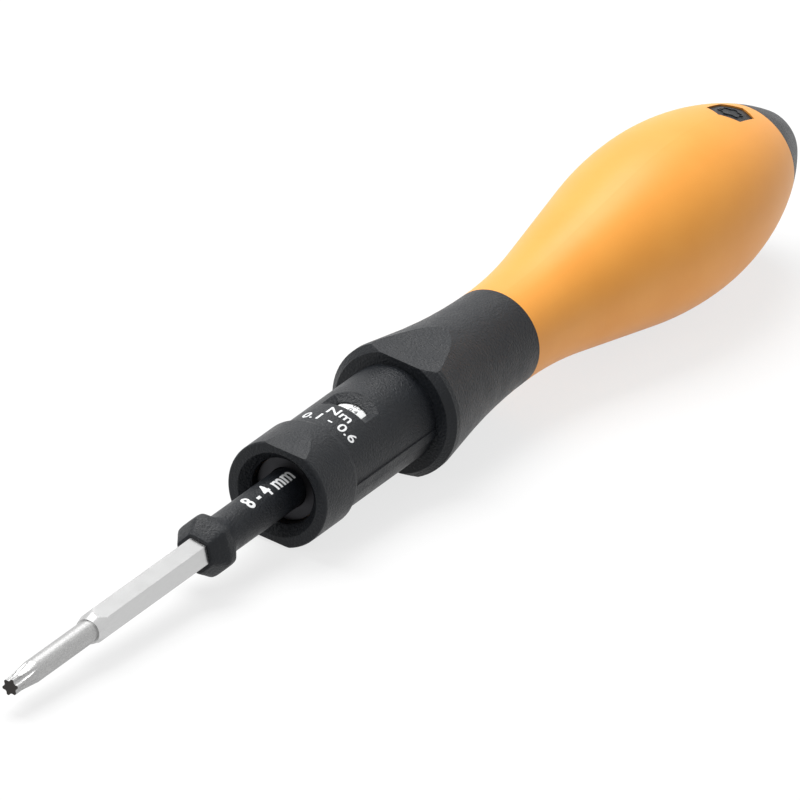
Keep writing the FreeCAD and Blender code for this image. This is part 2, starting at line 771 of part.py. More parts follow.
def lug_outline(sketch, inner):
    """Two lugs that reach through the scale sleeve into the core's keyways."""
    for side in ("", "-"):
        polygon(
            sketch,
            [
                (side + inner, "-(keyway_width / 2 - running_fit)"),
                (side + LUG_TIP, "-(keyway_width / 2 - running_fit)"),
                (side + LUG_TIP, "keyway_width / 2 - running_fit"),
                (side + inner, "keyway_width / 2 - running_fit"),
            ],
        )


def cut_ball_pockets(body, station):
    """Spherical seats for every ball, cut by turning a half disc about its own chord."""
    sketch = new_sketch(body, body.Label + "_pocket")
    centre = Vector(value(station), value("ball_pitch"), 0)
    radius = value("ball_radius")
    left = centre - Vector(radius, 0, 0)
    right = centre + Vector(radius, 0, 0)
    bowl = arc_between(sketch, centre, radius, right, left)
    index = sketch.addConstraint(Sketcher.Constraint("Radius", bowl, radius))
    sketch.setExpression("Constraints[%d]" % index, bound("ball_radius"))
    pin_point(sketch, bowl, 3, station, "ball_pitch")
    pin_point(sketch, bowl, 1, None, "ball_pitch")
    pin_point(sketch, bowl, 2, None, "ball_pitch")
    chord = sketch.addGeometry(Part.LineSegment(left, right), False)
    sketch.addConstraint(Sketcher.Constraint("Coincident", bowl, 2, chord, 1))
    sketch.addConstraint(Sketcher.Constraint("Coincident", chord, 2, bowl, 1))
    before = body.Shape.Volume
    cut = body.newObject("PartDesign::Groove", body.Label + "_seat")
    cut.Profile = sketch
    cut.ReferenceAxis = (sketch, ["Edge2"])
    cut.Angle = 360.0
    doc.recompute()
    require_less(body, before, "ball seat")
    polar(body, cut)


def polar(body, feature):
    """Repeat a feature round the tool's axis, once for each ball."""
    pattern = body.newObject("PartDesign::PolarPattern", feature.Name + "_pattern")
    pattern.Originals = [feature]
    pattern.Axis = (origin_line(body, "X_Axis"), [""])
    pattern.Angle = 360.0
    pattern.Occurrences = int(value("ball_count"))
    pattern.setExpression("Occurrences", bound("ball_count"))
    body.Tip = pattern
    doc.recompute()
    return pattern


def origin_line(body, role):
    """The body's own origin axis with that role."""
    return [f for f in body.Origin.OriginFeatures if f.Role == role][0]


def make_keyed_cam():
    """Cam disc that the handle turns: lugs in the keyways, dimples towards the balls."""
    body = ring("keyed_cam", KEYED_CAM, KEYED_CAM + " + cam_length", "spindle_tail_radius + loose_fit", "cam_radius")
    sketch = new_sketch(body, "keyed_cam_lugs", "YZ_Plane", KEYED_CAM + " + cam_length / 4")
    lug_outline(sketch, "(cam_radius - keyway_depth)")
    pad(body, sketch, "cam_length / 2")
    cut_ball_pockets(body, KEYED_CAM + " - ball_stand")
    ring(
        "spring_washer",
        KEYED_CAM + " + cam_length",
        SPRING_START,
        "spindle_tail_radius + loose_fit",
        "cam_radius",
    )


def make_torque_spring():
    """Coil spring between the spring washer and the preload nut."""
    room = "(nut_start - nut_spigot - (%s))" % SPRING_START
    pitch = "((%s - 2 * wire_radius - 2 * running_fit) / coil_count)" % room
    helix = doc.addObject("Part::Helix", "spring_helix")
    for name, text in (("Pitch", pitch), ("Height", pitch + " * coil_count"), ("Radius", "coil_radius")):
        setattr(helix, name, value(text))
        helix.setExpression(name, bound(text))
    wire = doc.addObject("Part::Circle", "spring_wire")
    wire.Radius = value("wire_radius")
    wire.setExpression("Radius", bound("wire_radius"))
    wire.Placement = Placement(Vector(value("coil_radius"), 0, 0), Rotation(Vector(1, 0, 0), 90))
    wire.setExpression("Placement.Base.x", bound("coil_radius"))
    coil = doc.addObject("Part::Sweep", "torque_spring")
    coil.Label = "torque_spring"
    coil.Sections = [wire]
    coil.Spine = (helix, ["Edge1"])
    coil.Solid = True
    coil.Frenet = True
    doc.recompute()
    PARTS.append(coil)
    return SPRING_START + " + wire_radius + running_fit"


# ---------------------------------------------------------------------------------------------------
# spindle body


def make_drive_spindle():
    """Hollow spindle: a wide head with a seat for the blade grip, then a slim tube with a hexagon bore."""
    body = new_body("drive_spindle")
    seat = "grip_body_radius + loose_fit"
    seat_end = "grip_body_end + 2 * loose_fit"
    clear = "(hex_flats / 2 + sliding_fit)"
    revolve(
        body,
        [
            ("spindle_start", seat),
            ("spindle_start", "spindle_flange"),
            ("bush_start - running_fit", "spindle_flange"),
            ("bush_start - running_fit", "spindle_head_radius"),
            ("spindle_head_end", "spindle_head_radius"),
            ("spindle_head_end", "spindle_tail_radius"),
            ("spindle_end", "spindle_tail_radius"),
            ("spindle_end", clear + " * 0.9"),
            (seat_end, clear + " * 0.9"),
            (seat_end, seat),
        ],
    )
    sketch = new_sketch(body, "drive_spindle_hexagon", "YZ_Plane", seat_end + " - loose_fit")
    hexagon(sketch, "hex_flats + 2 * sliding_fit")
    pocket(body, sketch, "spindle_end")
    groove(
        body,
        [
            ("blade_ring_station", clear + " * 0.9"),
            ("blade_ring_station + blade_ring_width", clear + " * 0.9"),
            ("blade_ring_station + blade_ring_width", RING_SEAT),
            ("blade_ring_station", RING_SEAT),
        ],
        "ring_seat",
    )
    groove(
        body,
        [
            (CLIP_START, "spindle_head_radius - clip_depth"),
            (CLIP_START + " + clip_width", "spindle_head_radius - clip_depth"),
            (CLIP_START + " + clip_width", "spindle_flange"),
            (CLIP_START, "spindle_flange"),
        ],
        "clip_groove",
    )


CLIP_START = "(nose_bore_end + loose_fit)"
RING_SEAT = "(spindle_tail_radius + hex_flats / sqrt(3)) / 2"


def make_spindle_parts():
    """What is carried on the spindle: the blade's ring, the driven cam, the balls and their cage."""
    ring(
        "blade_ring",
        "blade_ring_station",
        "blade_ring_station + blade_ring_width",
        "(hex_flats + 2 * sliding_fit) / sqrt(3)",
        RING_SEAT,
    )
    clip = ring(
        "spindle_clip",
        CLIP_START,
        CLIP_START + " + clip_width",
        "spindle_head_radius - clip_depth",
        "clip_radius",
    )
    gap = new_sketch(clip, "spindle_clip_gap", "YZ_Plane", CLIP_START + " - clip_width")
    polygon(
        gap,
        [
            ("0", "-spindle_flange"),
            ("clip_width * 2", "-spindle_flange"),
            ("clip_width * 2", "-clip_width"),
            ("0", "-clip_width"),
        ],
    )
    pocket(clip, gap, "clip_width * 3")
    driven = ring("driven_cam", "cam_start", "cam_start + cam_length", "spindle_tail_radius", "cam_radius")
    cut_ball_pockets(driven, BALL_STATION)
    cage_start = BALL_STATION + " - cage_thickness / 2"
    cage = ring(
        "ball_cage",
        cage_start,
        BALL_STATION + " + cage_thickness / 2",
        "spindle_tail_radius + loose_fit / 4",
        "cam_radius + loose_fit",
    )
    hole = new_sketch(cage, "ball_cage_hole", "YZ_Plane", cage_start + " - cage_thickness")
    circle(hole, "ball_radius", "0", "ball_pitch")
    polar(cage, pocket(cage, hole, "4 * cage_thickness"))
    make_balls()


def make_balls():
    """Clutch balls, one on each seat."""
    count = int(value("ball_count"))
    for index in range(count):
        ball = doc.addObject("Part::Sphere", "clutch_ball_%d" % (index + 1))
        ball.Label = ball.Name
        ball.Radius = value("ball_radius")
        ball.setExpression("Radius", bound("ball_radius"))
        doc.recompute()
        PARTS.append(ball)


# ---------------------------------------------------------------------------------------------------
# blade body


def make_blade_shaft():
    """Steel blade: hexalobular tip, round neck, conical shoulder and a long hexagon shank."""
    body = new_body("blade_shaft")
    tip = "-blade_reach"
    cone_end = "star_length + star_runout"
    revolve(
        body,
        [
            (tip + " + star_length", "0"),
            (tip + " + star_length", "star_radius"),
            (tip + " + " + cone_end, "neck_radius"),
            (tip + " + neck_length", "neck_radius"),
            (tip + " + neck_length", "0"),
        ],
        "neck",
    )
    cut_flutes(body)
    add_star(body)
    shank = new_sketch(body, "blade_shaft_hexagon", "YZ_Plane", tip + " + neck_length")
    hexagon(shank, "hex_flats")
    pad(body, shank, "blade_length - neck_length")
    corner = "hex_flats / sqrt(3)"
    groove(
        body,
        [
            (tip + " + neck_length", "neck_radius + star_root / 4"),
            (tip + " + neck_length + shoulder_length", corner),
            (tip + " + neck_length + shoulder_length", corner + " + neck_radius"),
            (tip + " + neck_length", corner + " + neck_radius"),
        ],
        "shoulder",
    )
    tail = tip + " + blade_length"
    groove(
        body,
        [
            (tail + " - shoulder_length / 4", corner),
            (tail, "hex_flats / 2 - shoulder_length / 8"),
            (tail, corner + " + neck_radius"),
            (tail + " - shoulder_length / 4", corner + " + neck_radius"),
        ],
        "tail_chamfer",
    )


def cut_flutes(body):
    """Six flutes that run out along the cone into the neck."""
    start = new_sketch(body, "blade_shaft_flute_start", "YZ_Plane", "-blade_reach + star_length")
    circle(start, "star_flute", "0", "star_root + star_flute")
    rise = "(neck_radius - star_root) / star_runout"
    stop = new_sketch(body, "blade_shaft_flute_stop", "YZ_Plane", "-blade_reach + star_length + star_runout * 1.5")
    circle(stop, "star_flute", "0", "star_root + star_flute + %s * star_runout * 1.5" % rise)
    before = body.Shape.Volume
    flute = body.newObject("PartDesign::SubtractiveLoft", "blade_shaft_flute")
    flute.Profile = start
    flute.Sections = [stop]
    flute.Ruled = True
    doc.recompute()
    require_less(body, before, "flute")
    pattern = body.newObject("PartDesign::PolarPattern", "blade_shaft_flutes")
    pattern.Originals = [flute]
    pattern.Axis = (origin_line(body, "X_Axis"), [""])
    pattern.Angle = 360.0
    pattern.Occurrences = 6
    body.Tip = pattern
    doc.recompute()


def add_star(body):
    """Parallel hexalobular tip: six lobes and six flutes, each an arc tangent to the next."""
    star = new_sketch(body, "blade_shaft_star", "YZ_Plane", "-blade_reach")
    flute_pitch = value("star_root + star_flute")
    flute_radius = value("star_flute")
    crest = value("star_radius")
    half_turn = math.radians(30.0)
    # the lobe's arc touches both flutes and the tip's outer circle
    gap = flute_pitch**2 + crest**2 - 2.0 * flute_pitch * crest * math.cos(half_turn)
    lobe_radius = (gap - flute_radius**2) / (2.0 * (flute_radius + crest - flute_pitch * math.cos(half_turn)))
    lobe_pitch = crest - lobe_radius
    arcs = []
    for index in range(6):
        turn = 2.0 * half_turn * index
        flute_centre = polar_point(flute_pitch, turn)
        before = polar_point(lobe_pitch, turn - half_turn)
        after = polar_point(lobe_pitch, turn + half_turn)
        share = flute_radius / (flute_radius + lobe_radius)
        enter = flute_centre + (before - flute_centre) * share
        leave = flute_centre + (after - flute_centre) * share
        arcs.append(arc_between(star, flute_centre, flute_radius, leave, enter))
        following = polar_point(flute_pitch, turn + 2.0 * half_turn)
        touch = following + (after - following) * share
        arcs.append(arc_between(star, after, lobe_radius, leave, touch))
        star.addConstraint(Sketcher.Constraint("Coincident", arcs[-2], 1, arcs[-1], 1))
    for index in range(6):
        lobe = arcs[2 * index + 1]
        following = arcs[(2 * index + 2) % 12]
        star.addConstraint(Sketcher.Constraint("Coincident", lobe, 2, following, 2))
    for arc in arcs:
        star.addConstraint(Sketcher.Constraint("Block", arc))
    pad(body, star, "star_length")


def polar_point(radius, angle):
    """A point of the sketch, anticlockwise from the sketch's upward axis."""
    return Vector(-radius * math.sin(angle), radius * math.cos(angle), 0)


def make_blade_grip():
    """Black plastic grip on the blade: oval head with two wings, a slim front and a round body."""
    front = "-boss_start"
    stations = [
        ("0", "head_half_width - 2 * star_flute", "boss_half_height"),
        ("boss_length / 4", "head_half_width - star_flute / 2", "boss_half_height"),
        ("boss_length", "head_half_width", "boss_half_height"),
        ("boss_length + head_slope", "head_half_width", "head_half_height"),
        ("boss_length + head_slope + head_length", "head_half_width", "head_half_height"),
        (
            "boss_length + head_slope + head_length + head_fillet / 3",
            "grip_body_radius + (head_half_width - grip_body_radius) / 4",
            "grip_body_radius + (head_half_height - grip_body_radius) / 3",
        ),
        ("boss_length + head_slope + head_length + head_fillet", "grip_body_radius", "grip_body_radius"),
    ]
    sections = []
    for index, (station, wide, high) in enumerate(stations):
        oval = doc.addObject("Part::Ellipse", "blade_grip_section_%d" % (index + 1))
        oval.MajorRadius = value(wide)
        oval.MinorRadius = value(high)
        oval.setExpression("MajorRadius", bound(wide))
        oval.setExpression("MinorRadius", bound(high))
        oval.Placement = Placement(Vector(value(front + " + " + station), 0, 0), Rotation(Vector(1, 1, 1), 120))
        oval.setExpression("Placement.Base.x", bound(front + " + " + station))
        sections.append(oval)
    head = doc.addObject("Part::Loft", "blade_grip_head")
    head.Sections = sections
    head.Solid = True
    head.Ruled = True
    doc.recompute()
    body_start = front + " + boss_length + head_slope + head_length + head_fillet"
    stem = doc.addObject("Part::Cylinder", "blade_grip_stem")
    stem.Radius = value("grip_body_radius")
    stem.setExpression("Radius", bound("grip_body_radius"))
    length = "grip_body_end - (%s)" % body_start
    stem.Height = value(length)
    stem.setExpression("Height", bound(length))
    stem.Placement = Placement(Vector(value(body_start), 0, 0), Rotation(Vector(0, 1, 0), 90))
    stem.setExpression("Placement.Base.x", bound(body_start))
    joined = doc.addObject("Part::Fuse", "blade_grip_solid")
    joined.Base = head
    joined.Tool = stem
    core = doc.addObject("Part::Prism", "blade_grip_core")
    core.Polygon = 6
    core.Circumradius = value("hex_flats / sqrt(3)")
    core.setExpression("Circumradius", bound("hex_flats / sqrt(3)"))
    reach = "boss_start + grip_body_end + 2"
    core.Height = value(reach)
    core.setExpression("Height", bound(reach))
    core.Placement = Placement(Vector(value(front + " - 1"), 0, 0), Rotation(Vector(0, 1, 0), 90))
    core.setExpression("Placement.Base.x", bound(front + " - 1"))
    grip = doc.addObject("Part::Cut", "blade_grip")
    grip.Label = "blade_grip"
    grip.Base = joined
    grip.Tool = core
    doc.recompute()
    PARTS.append(grip)


# ---------------------------------------------------------------------------------------------------
# setting screw body and scale body


def make_setting_screw():
    """Hollow screw at the rear: threaded tube, thrust flange, tail with a hexagon socket."""
    body = new_body("setting_screw")
    bore_end = "screw_end - socket_depth - socket_web"
    revolve(
        body,
        [
            ("screw_start", "screw_bore"),
            ("screw_start", "screw_radius"),
            (HEAD_START, "screw_radius"),
            (HEAD_START, "screw_head_radius"),
            (HEAD_START + " + screw_head_length", "screw_head_radius"),
            (HEAD_START + " + screw_head_length", "screw_tail_radius"),
            ("screw_end", "screw_tail_radius"),
            ("screw_end", "0"),
            (bore_end, "0"),
            (bore_end, "screw_bore"),
        ],
    )
    socket = new_sketch(body, "setting_screw_socket", "YZ_Plane", "screw_end")
    hexagon(socket, "socket_flats")
    pocket(body, socket, "socket_depth", away=False)


def make_preload_nut():
    """Nut on the setting screw: seats the spring in front, lugs keep it from turning."""
    body = new_body("preload_nut")
    bore = "screw_radius + running_fit"
    revolve(
        body,
        [
            ("nut_start - nut_spigot", bore),
            ("nut_start - nut_spigot", "scale_inner"),
            ("nut_start", "scale_inner"),
            ("nut_start", "scale_outer"),
            ("nut_start + nut_length", "scale_outer"),
            ("nut_start + nut_length", bore),
        ],
    )
    sketch = new_sketch(body, "preload_nut_lugs", "YZ_Plane", "nut_start + nut_length / 4")
    lug_outline(sketch, "(scale_outer - keyway_depth)")
    pad(body, sketch, "nut_length / 2")


def make_scale_sleeve():
    """White sleeve that slides with the nut: a wide drum behind the window and a long slotted tube."""
    body = new_body("scale_sleeve")
    step = "(drum_radius - scale_outer)"
    revolve(
        body,
        [
            ("drum_start", "scale_inner"),
            ("drum_start", "drum_radius"),
            ("drum_end", "drum_radius"),
            ("drum_end + " + step, "scale_outer"),
            ("nut_start", "scale_outer"),
            ("nut_start", "scale_inner"),
        ],
    )
    play = "(scale_travel + 4 * loose_fit)"
    start = "(%s + cam_length / 4 - %s)" % (KEYED_CAM, play)
    stop = "(%s + 3 * cam_length / 4 + %s)" % (KEYED_CAM, play)
    sketch = new_sketch(body, "scale_sleeve_slots")
    half = "(keyway_width / 2 + loose_fit)"
    polygon(sketch, [(start, "-" + half), (stop, "-" + half), (stop, half), (start, half)])
    pocket(body, sketch, "4 * scale_outer", midplane=True)


# ---------------------------------------------------------------------------------------------------
# resting pose


def settling():
    """Angle at which the tool lies on its belly and its front ring, and how far the axis is raised."""
    sweep = value("belly_sweep")
    along = value("belly_station - ring_flat_run")
    across = value("belly_radius - belly_sweep - ring_radius")
    angle = math.atan2(across, along) + math.asin(sweep / math.hypot(along, across))
    height = value("ring_radius") * math.cos(angle) - value("ring_flat_run") * math.sin(angle)
    return angle, height


def lay_down(spring_start):
    """Give every sub-part its placement in the resting pose."""
    angle, height = settling()
    lying = Placement(Vector(0, 0, height), Rotation(Vector(0, 1, 0), -math.degrees(angle)))
    clocked = Placement(Vector(), Rotation(Vector(1, 0, 0), value("blade_clock")))
    turned_parts = (
        "drive_spindle",
        "spindle_clip",
        "blade_ring",
        "driven_cam",
        "ball_cage",
        "blade_shaft",
        "blade_grip",
    )
    ends = [lying.multVec(Vector(value(station), 0, 0)).x for station in ("-blade_reach", "handle_end")]
    lying.Base.x = -sum(ends) / 2.0
    for part in PARTS:
        own = Placement()
        if part.Label in turned_parts:
            own = clocked
        if part.Label.startswith("clutch_ball"):
            own = clocked * ball_place(int(part.Label.rsplit("_", 1)[1]))
        if part.Label == "torque_spring":
            own = Placement(Vector(value(spring_start), 0, 0), Rotation(Vector(0, 1, 0), 90))
        part.Placement = lying * own
    doc.recompute()


def ball_place(number):
    """Where a clutch ball sits on its pitch circle, counted from one."""
    turn = Rotation(Vector(1, 0, 0), 360.0 * (number - 1) / value("ball_count"))
    seat = Vector(value(BALL_STATION), 0, value("ball_pitch"))
    return Placement(turn.multVec(seat), Rotation())


# ---------------------------------------------------------------------------------------------------
# whole tool


def check_document():
    """Stop if any object failed or a sub-part's shape is empty or not valid."""
    for item in doc.Objects:
        if "Invalid" in item.State or "Error" in item.State:
            raise RuntimeError("%s failed: %s" % (item.Name, item.State))
    for part in PARTS:
        if part.Shape.isNull() or not part.Shape.isValid():
            raise RuntimeError("%s has no valid shape" % part.Label)
        if len(part.Shape.Solids) != 1:
            raise RuntimeError("%s is %d solids" % (part.Label, len(part.Shape.Solids)))


def main():
    """Build every sub-part, lay the tool down and write one STEP file for each sub-part."""
    make_front_sleeve()
    make_handle_core()
    make_grip_shell()
    make_symbol_pad()
    make_end_cap()
    make_bushes()
    make_thrust_parts()
    make_keyed_cam()
    spring_start = make_torque_spring()
    make_drive_spindle()
    make_spindle_parts()
    make_blade_shaft()
    make_blade_grip()
    make_setting_screw()
    make_preload_nut()
    make_scale_sleeve()
    lay_down(spring_start)
    check_document()
    os.makedirs("parts", exist_ok=True)
    for part in PARTS:
        part.Shape.exportStep("parts/%s.step" % part.Label)


main()
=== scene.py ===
"""Blender scene of a torque screwdriver with a pull-out blade.

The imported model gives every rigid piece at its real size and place.  This script gives each piece its
finish, adds the printed marks and the raised symbol, and sets up the studio and the camera.

Two frames are used.  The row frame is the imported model's, in metres.  The tool frame is in millimetres:
X runs along the tool from the blade's tip to the butt with X = 0 at the mouth, Z points out of the scale
window, and an angle round the tool is counted in degrees from Z towards -Y.
"""

from __future__ import annotations

import json
import logging
import math
from dataclasses import dataclass
from enum import Enum
from typing import Any, Mapping, Sequence, Union

import bmesh
import bpy
import numpy as np
from mathutils import Euler, Matrix, Vector

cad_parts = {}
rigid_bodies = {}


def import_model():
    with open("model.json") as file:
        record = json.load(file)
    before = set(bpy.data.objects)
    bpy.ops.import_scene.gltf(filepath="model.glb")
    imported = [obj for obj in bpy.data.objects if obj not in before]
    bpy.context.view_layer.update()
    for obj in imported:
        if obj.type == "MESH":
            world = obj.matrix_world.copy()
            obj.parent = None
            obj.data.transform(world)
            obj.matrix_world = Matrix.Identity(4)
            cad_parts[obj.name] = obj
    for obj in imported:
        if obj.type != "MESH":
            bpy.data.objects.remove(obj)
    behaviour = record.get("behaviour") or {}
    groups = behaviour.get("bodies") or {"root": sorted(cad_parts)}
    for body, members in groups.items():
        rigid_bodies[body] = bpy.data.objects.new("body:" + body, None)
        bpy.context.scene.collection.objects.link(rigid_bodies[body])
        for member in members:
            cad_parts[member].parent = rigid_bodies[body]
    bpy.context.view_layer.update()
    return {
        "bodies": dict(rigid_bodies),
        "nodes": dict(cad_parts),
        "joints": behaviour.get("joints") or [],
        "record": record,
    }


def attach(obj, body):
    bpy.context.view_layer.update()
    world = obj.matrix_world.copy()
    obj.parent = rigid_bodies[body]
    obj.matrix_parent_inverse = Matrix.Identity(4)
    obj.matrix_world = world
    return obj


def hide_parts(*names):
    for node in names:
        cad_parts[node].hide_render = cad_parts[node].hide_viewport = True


LOG = logging.getLogger("torque_screwdriver")
MM = 0.001
MICRON = MM * MM
CREASE = math.radians(40.0)
BEVEL_SAMPLES = 4
WHITE = (1.0, 1.0, 1.0)
Triple = tuple[float, float, float]
Colour = Triple


# ---------------------------------------------------------------------------------------------------
# the tool's own frame


@dataclass(frozen=True)
class ToolFrame:
    """Where the tool lies.

    Attributes:
        mouth: the mouth of the tool in the row frame, metres.
        slope: how far the axis rises towards the butt, radians.
    """

    mouth: Vector
    slope: float

    @classmethod
    def from_joint(cls, joint: Mapping[str, Any]) -> "ToolFrame":
        """The frame of a joint whose axis is the tool's and whose place is the mouth."""
        along = Vector(joint["axis"])
        return cls(Vector(joint["pos_m"]), math.atan2(along.z, along.x))

    @property
    def turn(self) -> Euler:
        """Rotation from the tool frame to the row frame."""
        return Euler((0.0, -self.slope, 0.0))

    def place(self, points: np.ndarray) -> np.ndarray:
        """Points of the tool frame, in the row frame.

        Args:
            points: N by 3 array in millimetres.

        Returns:
            The same points in metres.
        """
        return points @ np.array(self.turn.to_matrix()).T * MM + np.array(self.mouth)

    def direction(self, vector: Sequence[float]) -> Vector:
        """A direction of the tool frame, in the row frame."""
        return self.turn.to_matrix() @ Vector(vector)

    def on_axis(self, station: float) -> Vector:
        """A station on the tool's axis, in the row frame."""
        return self.mouth + self.direction((station, 0.0, 0.0)) * MM


# ---------------------------------------------------------------------------------------------------
# shader maths

Value = Union["Wire", float]


class Wire:
    """A shader output that takes part in Python sums."""

    def __init__(self, bench: "Bench", socket: bpy.types.NodeSocket) -> None:
        """Wraps a socket of the bench's node tree."""
        self.bench = bench
        self.socket = socket

    def _maths(self, operation: str, *values: Value) -> "Wire":
        """One Math node over the values."""
        return self.bench.node("ShaderNodeMath", {"operation": operation}, dict(enumerate(values)))

    def __add__(self, other: Value) -> "Wire":
        """Sum."""
        return self._maths("ADD", self, other)

    def __sub__(self, other: Value) -> "Wire":
        """Difference."""
        return self._maths("SUBTRACT", self, other)

    def __rsub__(self, other: Value) -> "Wire":
        """Difference from a number."""
        return self._maths("SUBTRACT", other, self)

    def __mul__(self, other: Value) -> "Wire":
        """Product."""
        return self._maths("MULTIPLY", self, other)

    def between(self, low: float, high: float) -> "Wire":
        """A smooth step.

        Args:
            low: value up to which the step is 0.
            high: value from which it is 1.

        Returns:
            The step.
        """
        settings = {"interpolation_type": "SMOOTHSTEP"}
        inputs = {"Value": self, "From Min": low, "From Max": high}
        return self.bench.node("ShaderNodeMapRange", settings, inputs)

    def highest(self, other: Value) -> "Wire":
        """The larger of two values."""
        return self._maths("MAXIMUM", self, other)

    __radd__ = __add__
    __rmul__ = __mul__


class Bench:
    """A node tree that is being wired."""

    def __init__(self, tree: bpy.types.NodeTree) -> None:
        """Empties the tree."""
        self.tree = tree
        self.tree.nodes.clear()

    def node(
        self,
        kind: str,
        settings: Mapping[str, Any] | None = None,
        inputs: Mapping[Any, Any] | None = None,
        output: Any = 0,
    ) -> Wire:
        """Makes one node.

        Args:
            kind: the node's Blender type.
            settings: the node's own properties, which are set first.
            inputs: values or wires by socket name or number.
            output: name or number of the output that is returned.

        Returns:
            The chosen output as a wire, empty for a node that has none.
        """
        made = self.tree.nodes.new(kind)
        for name, setting in (settings or {}).items():
            setattr(made, name, setting)
        for name, value in (inputs or {}).items():
            socket = made.inputs[name]
            if isinstance(value, Wire):
                self.tree.links.new(value.socket, socket)
            elif isinstance(value, tuple) and len(value) == 3 and socket.type == "RGBA":
                socket.default_value = (*value, 1.0)
            else:
                socket.default_value = value
        return Wire(self, made.outputs[output] if made.outputs else None)

    def mix(self, share: Value, first: Any, second: Any) -> Wire:
        """Colour between first and second."""
        inputs = {0: share, 6: first, 7: second}
        return self.node("ShaderNodeMix", {"data_type": "RGBA"}, inputs, 2)

    def stretch(self, vector: Wire, scale: Triple) -> Wire:
        """A vector scaled along each axis."""
        return self.node("ShaderNodeVectorMath", {"operation": "MULTIPLY"}, {0: vector, 1: scale})

    def noise(self, vector: Wire, per_mm: float, detail: float = 2.0, roughness: float = 0.5) -> Wire:
        """Noise from 0 to 1 with a number of features per millimetre."""
        inputs = {"Vector": vector, "Scale": per_mm, "Detail": detail, "Roughness": roughness}
        return self.node("ShaderNodeTexNoise", None, inputs, "Fac")


# ---------------------------------------------------------------------------------------------------
# finishes


@dataclass(frozen=True)
class Finish:
    """What every finish has.

    Attributes:
        name: the material's name.
        colour: its main colour.
        roughness: its mean roughness.
        metallic: 1 for bare metal, 0 for plastic and ink.
        gloss: strength of the plastic's own reflection, 0.5 for a plain polymer.
    """

    name: str
    colour: Colour
    roughness: float
    metallic: float = 0.0
    gloss: float = 0.5

    def material(self, frame: ToolFrame) -> bpy.types.Material:
        """The finished material.

        Args:
            frame: the tool's frame, which the patterns follow.

        Returns:
            A material with its nodes wired.
        """
        made = bpy.data.materials.new(self.name)
        made.use_nodes = True
        bench = Bench(made.node_tree)
        place = bench.node("ShaderNodeTexCoord", output="Object")
        inputs = {"Vector": place, "Location": frame.mouth, "Rotation": frame.turn, "Scale": (MM, MM, MM)}
        tool = bench.node("ShaderNodeMapping", {"vector_type": "TEXTURE"}, inputs)
        surface = {"Metallic": self.metallic, "Specular IOR Level": self.gloss, **self.detail(bench, tool)}
        shader = bench.node("ShaderNodeBsdfPrincipled", None, surface)
        bench.node("ShaderNodeOutputMaterial", None, {"Surface": shader})
        return made

    def detail(self, bench: Bench, tool: Wire) -> dict[str, Any]:
        """The colour, roughness and normal, which change over the surface."""
        raise NotImplementedError

    @staticmethod
    def bumped(bench: Bench, height: Wire, microns: float, edge: float = 0.0) -> Wire:
        """Normal of a relief.

        Args:
            bench: the material's bench.
            height: relief from 0 to 1.
            microns: its full height.
            edge: radius in millimetres to which sharp edges look rounded.

        Returns:
            The normal.
        """
        inputs: dict[str, Any] = {"Height": height, "Strength": 1.0, "Distance": microns * MICRON}
        if edge:
            settings = {"samples": BEVEL_SAMPLES}
            inputs["Normal"] = bench.node("ShaderNodeBevel", settings, {"Radius": edge * MM})
        return bench.node("ShaderNodeBump", None, inputs)


@dataclass(frozen=True)
class GrainedPlastic(Finish):
    """Plastic from a spark-eroded mould: a fine even grain with some smoother patches.

    Attributes:
        grain_per_mm: grains per millimetre.
        grain_microns: height of the grain.
        edge: radius to which sharp edges look rounded, millimetres.
        patches_per_mm: smoother patches per millimetre.
        paler: how much paler the grain's crests are.
    """

    grain_per_mm: float = 3.0
    grain_microns: float = 150.0
    edge: float = 0.12
    patches_per_mm: float = 0.35
    paler: float = 1.9

    def detail(self, bench: Bench, tool: Wire) -> dict[str, Any]:
        """Grain in the relief, faint mottling in the colour and the gloss.

        Args:
            bench: the material's bench.
            tool: the place in the tool frame, millimetres.

        Returns:
            The inputs of the shader by socket name.
        """
        grain = bench.noise(tool, self.grain_per_mm, 3.0, 0.6)
        cloud = bench.noise(tool, self.patches_per_mm, 3.0)
        pale = tuple(min(1.0, self.paler * part) for part in self.colour)
        mottle = grain.between(0.42, 0.68) * 0.35 + cloud.between(0.3, 0.7) * 0.25
        return {
            "Base Color": bench.mix(mottle, self.colour, pale),
            "Roughness": cloud.between(0.25, 0.75) * 0.1 + grain * 0.08 + (self.roughness - 0.09),
            "Normal": self.bumped(bench, grain, self.grain_microns, self.edge),
        }


@dataclass(frozen=True)
class SoftTouch(Finish):
    """Satin soft-touch skin with a very fine velvety relief.

    Attributes:
        relief_per_mm: features of the relief per millimetre.
        relief_microns: height of the relief.
        edge: radius to which sharp edges look rounded, millimetres.
        clouds_per_mm: faint clouds per millimetre.
        deeper: share of each colour channel that is left in the clouds.
    """

    relief_per_mm: float = 9.0
    relief_microns: float = 4.0
    edge: float = 0.1
    clouds_per_mm: float = 0.12
    deeper: Triple = (0.95, 0.9, 0.8)

    def detail(self, bench: Bench, tool: Wire) -> dict[str, Any]:
        """Fine relief, faint clouds in the colour and in the gloss.

        Args:
            bench: the material's bench.
            tool: the place in the tool frame, millimetres.

        Returns:
            The inputs of the shader by socket name.
        """
        fine = bench.noise(tool, self.relief_per_mm, 2.0)
        cloud = bench.noise(tool, self.clouds_per_mm, 3.0)
        deep = tuple(part * share for part, share in zip(self.colour, self.deeper))
        return {
            "Base Color": bench.mix(cloud.between(0.3, 0.7) * 0.5 + fine * 0.15, self.colour, deep),
            "Roughness": cloud * 0.08 + fine * 0.06 + (self.roughness - 0.07),
            "Normal": self.bumped(bench, fine, self.relief_microns, self.edge),
        }


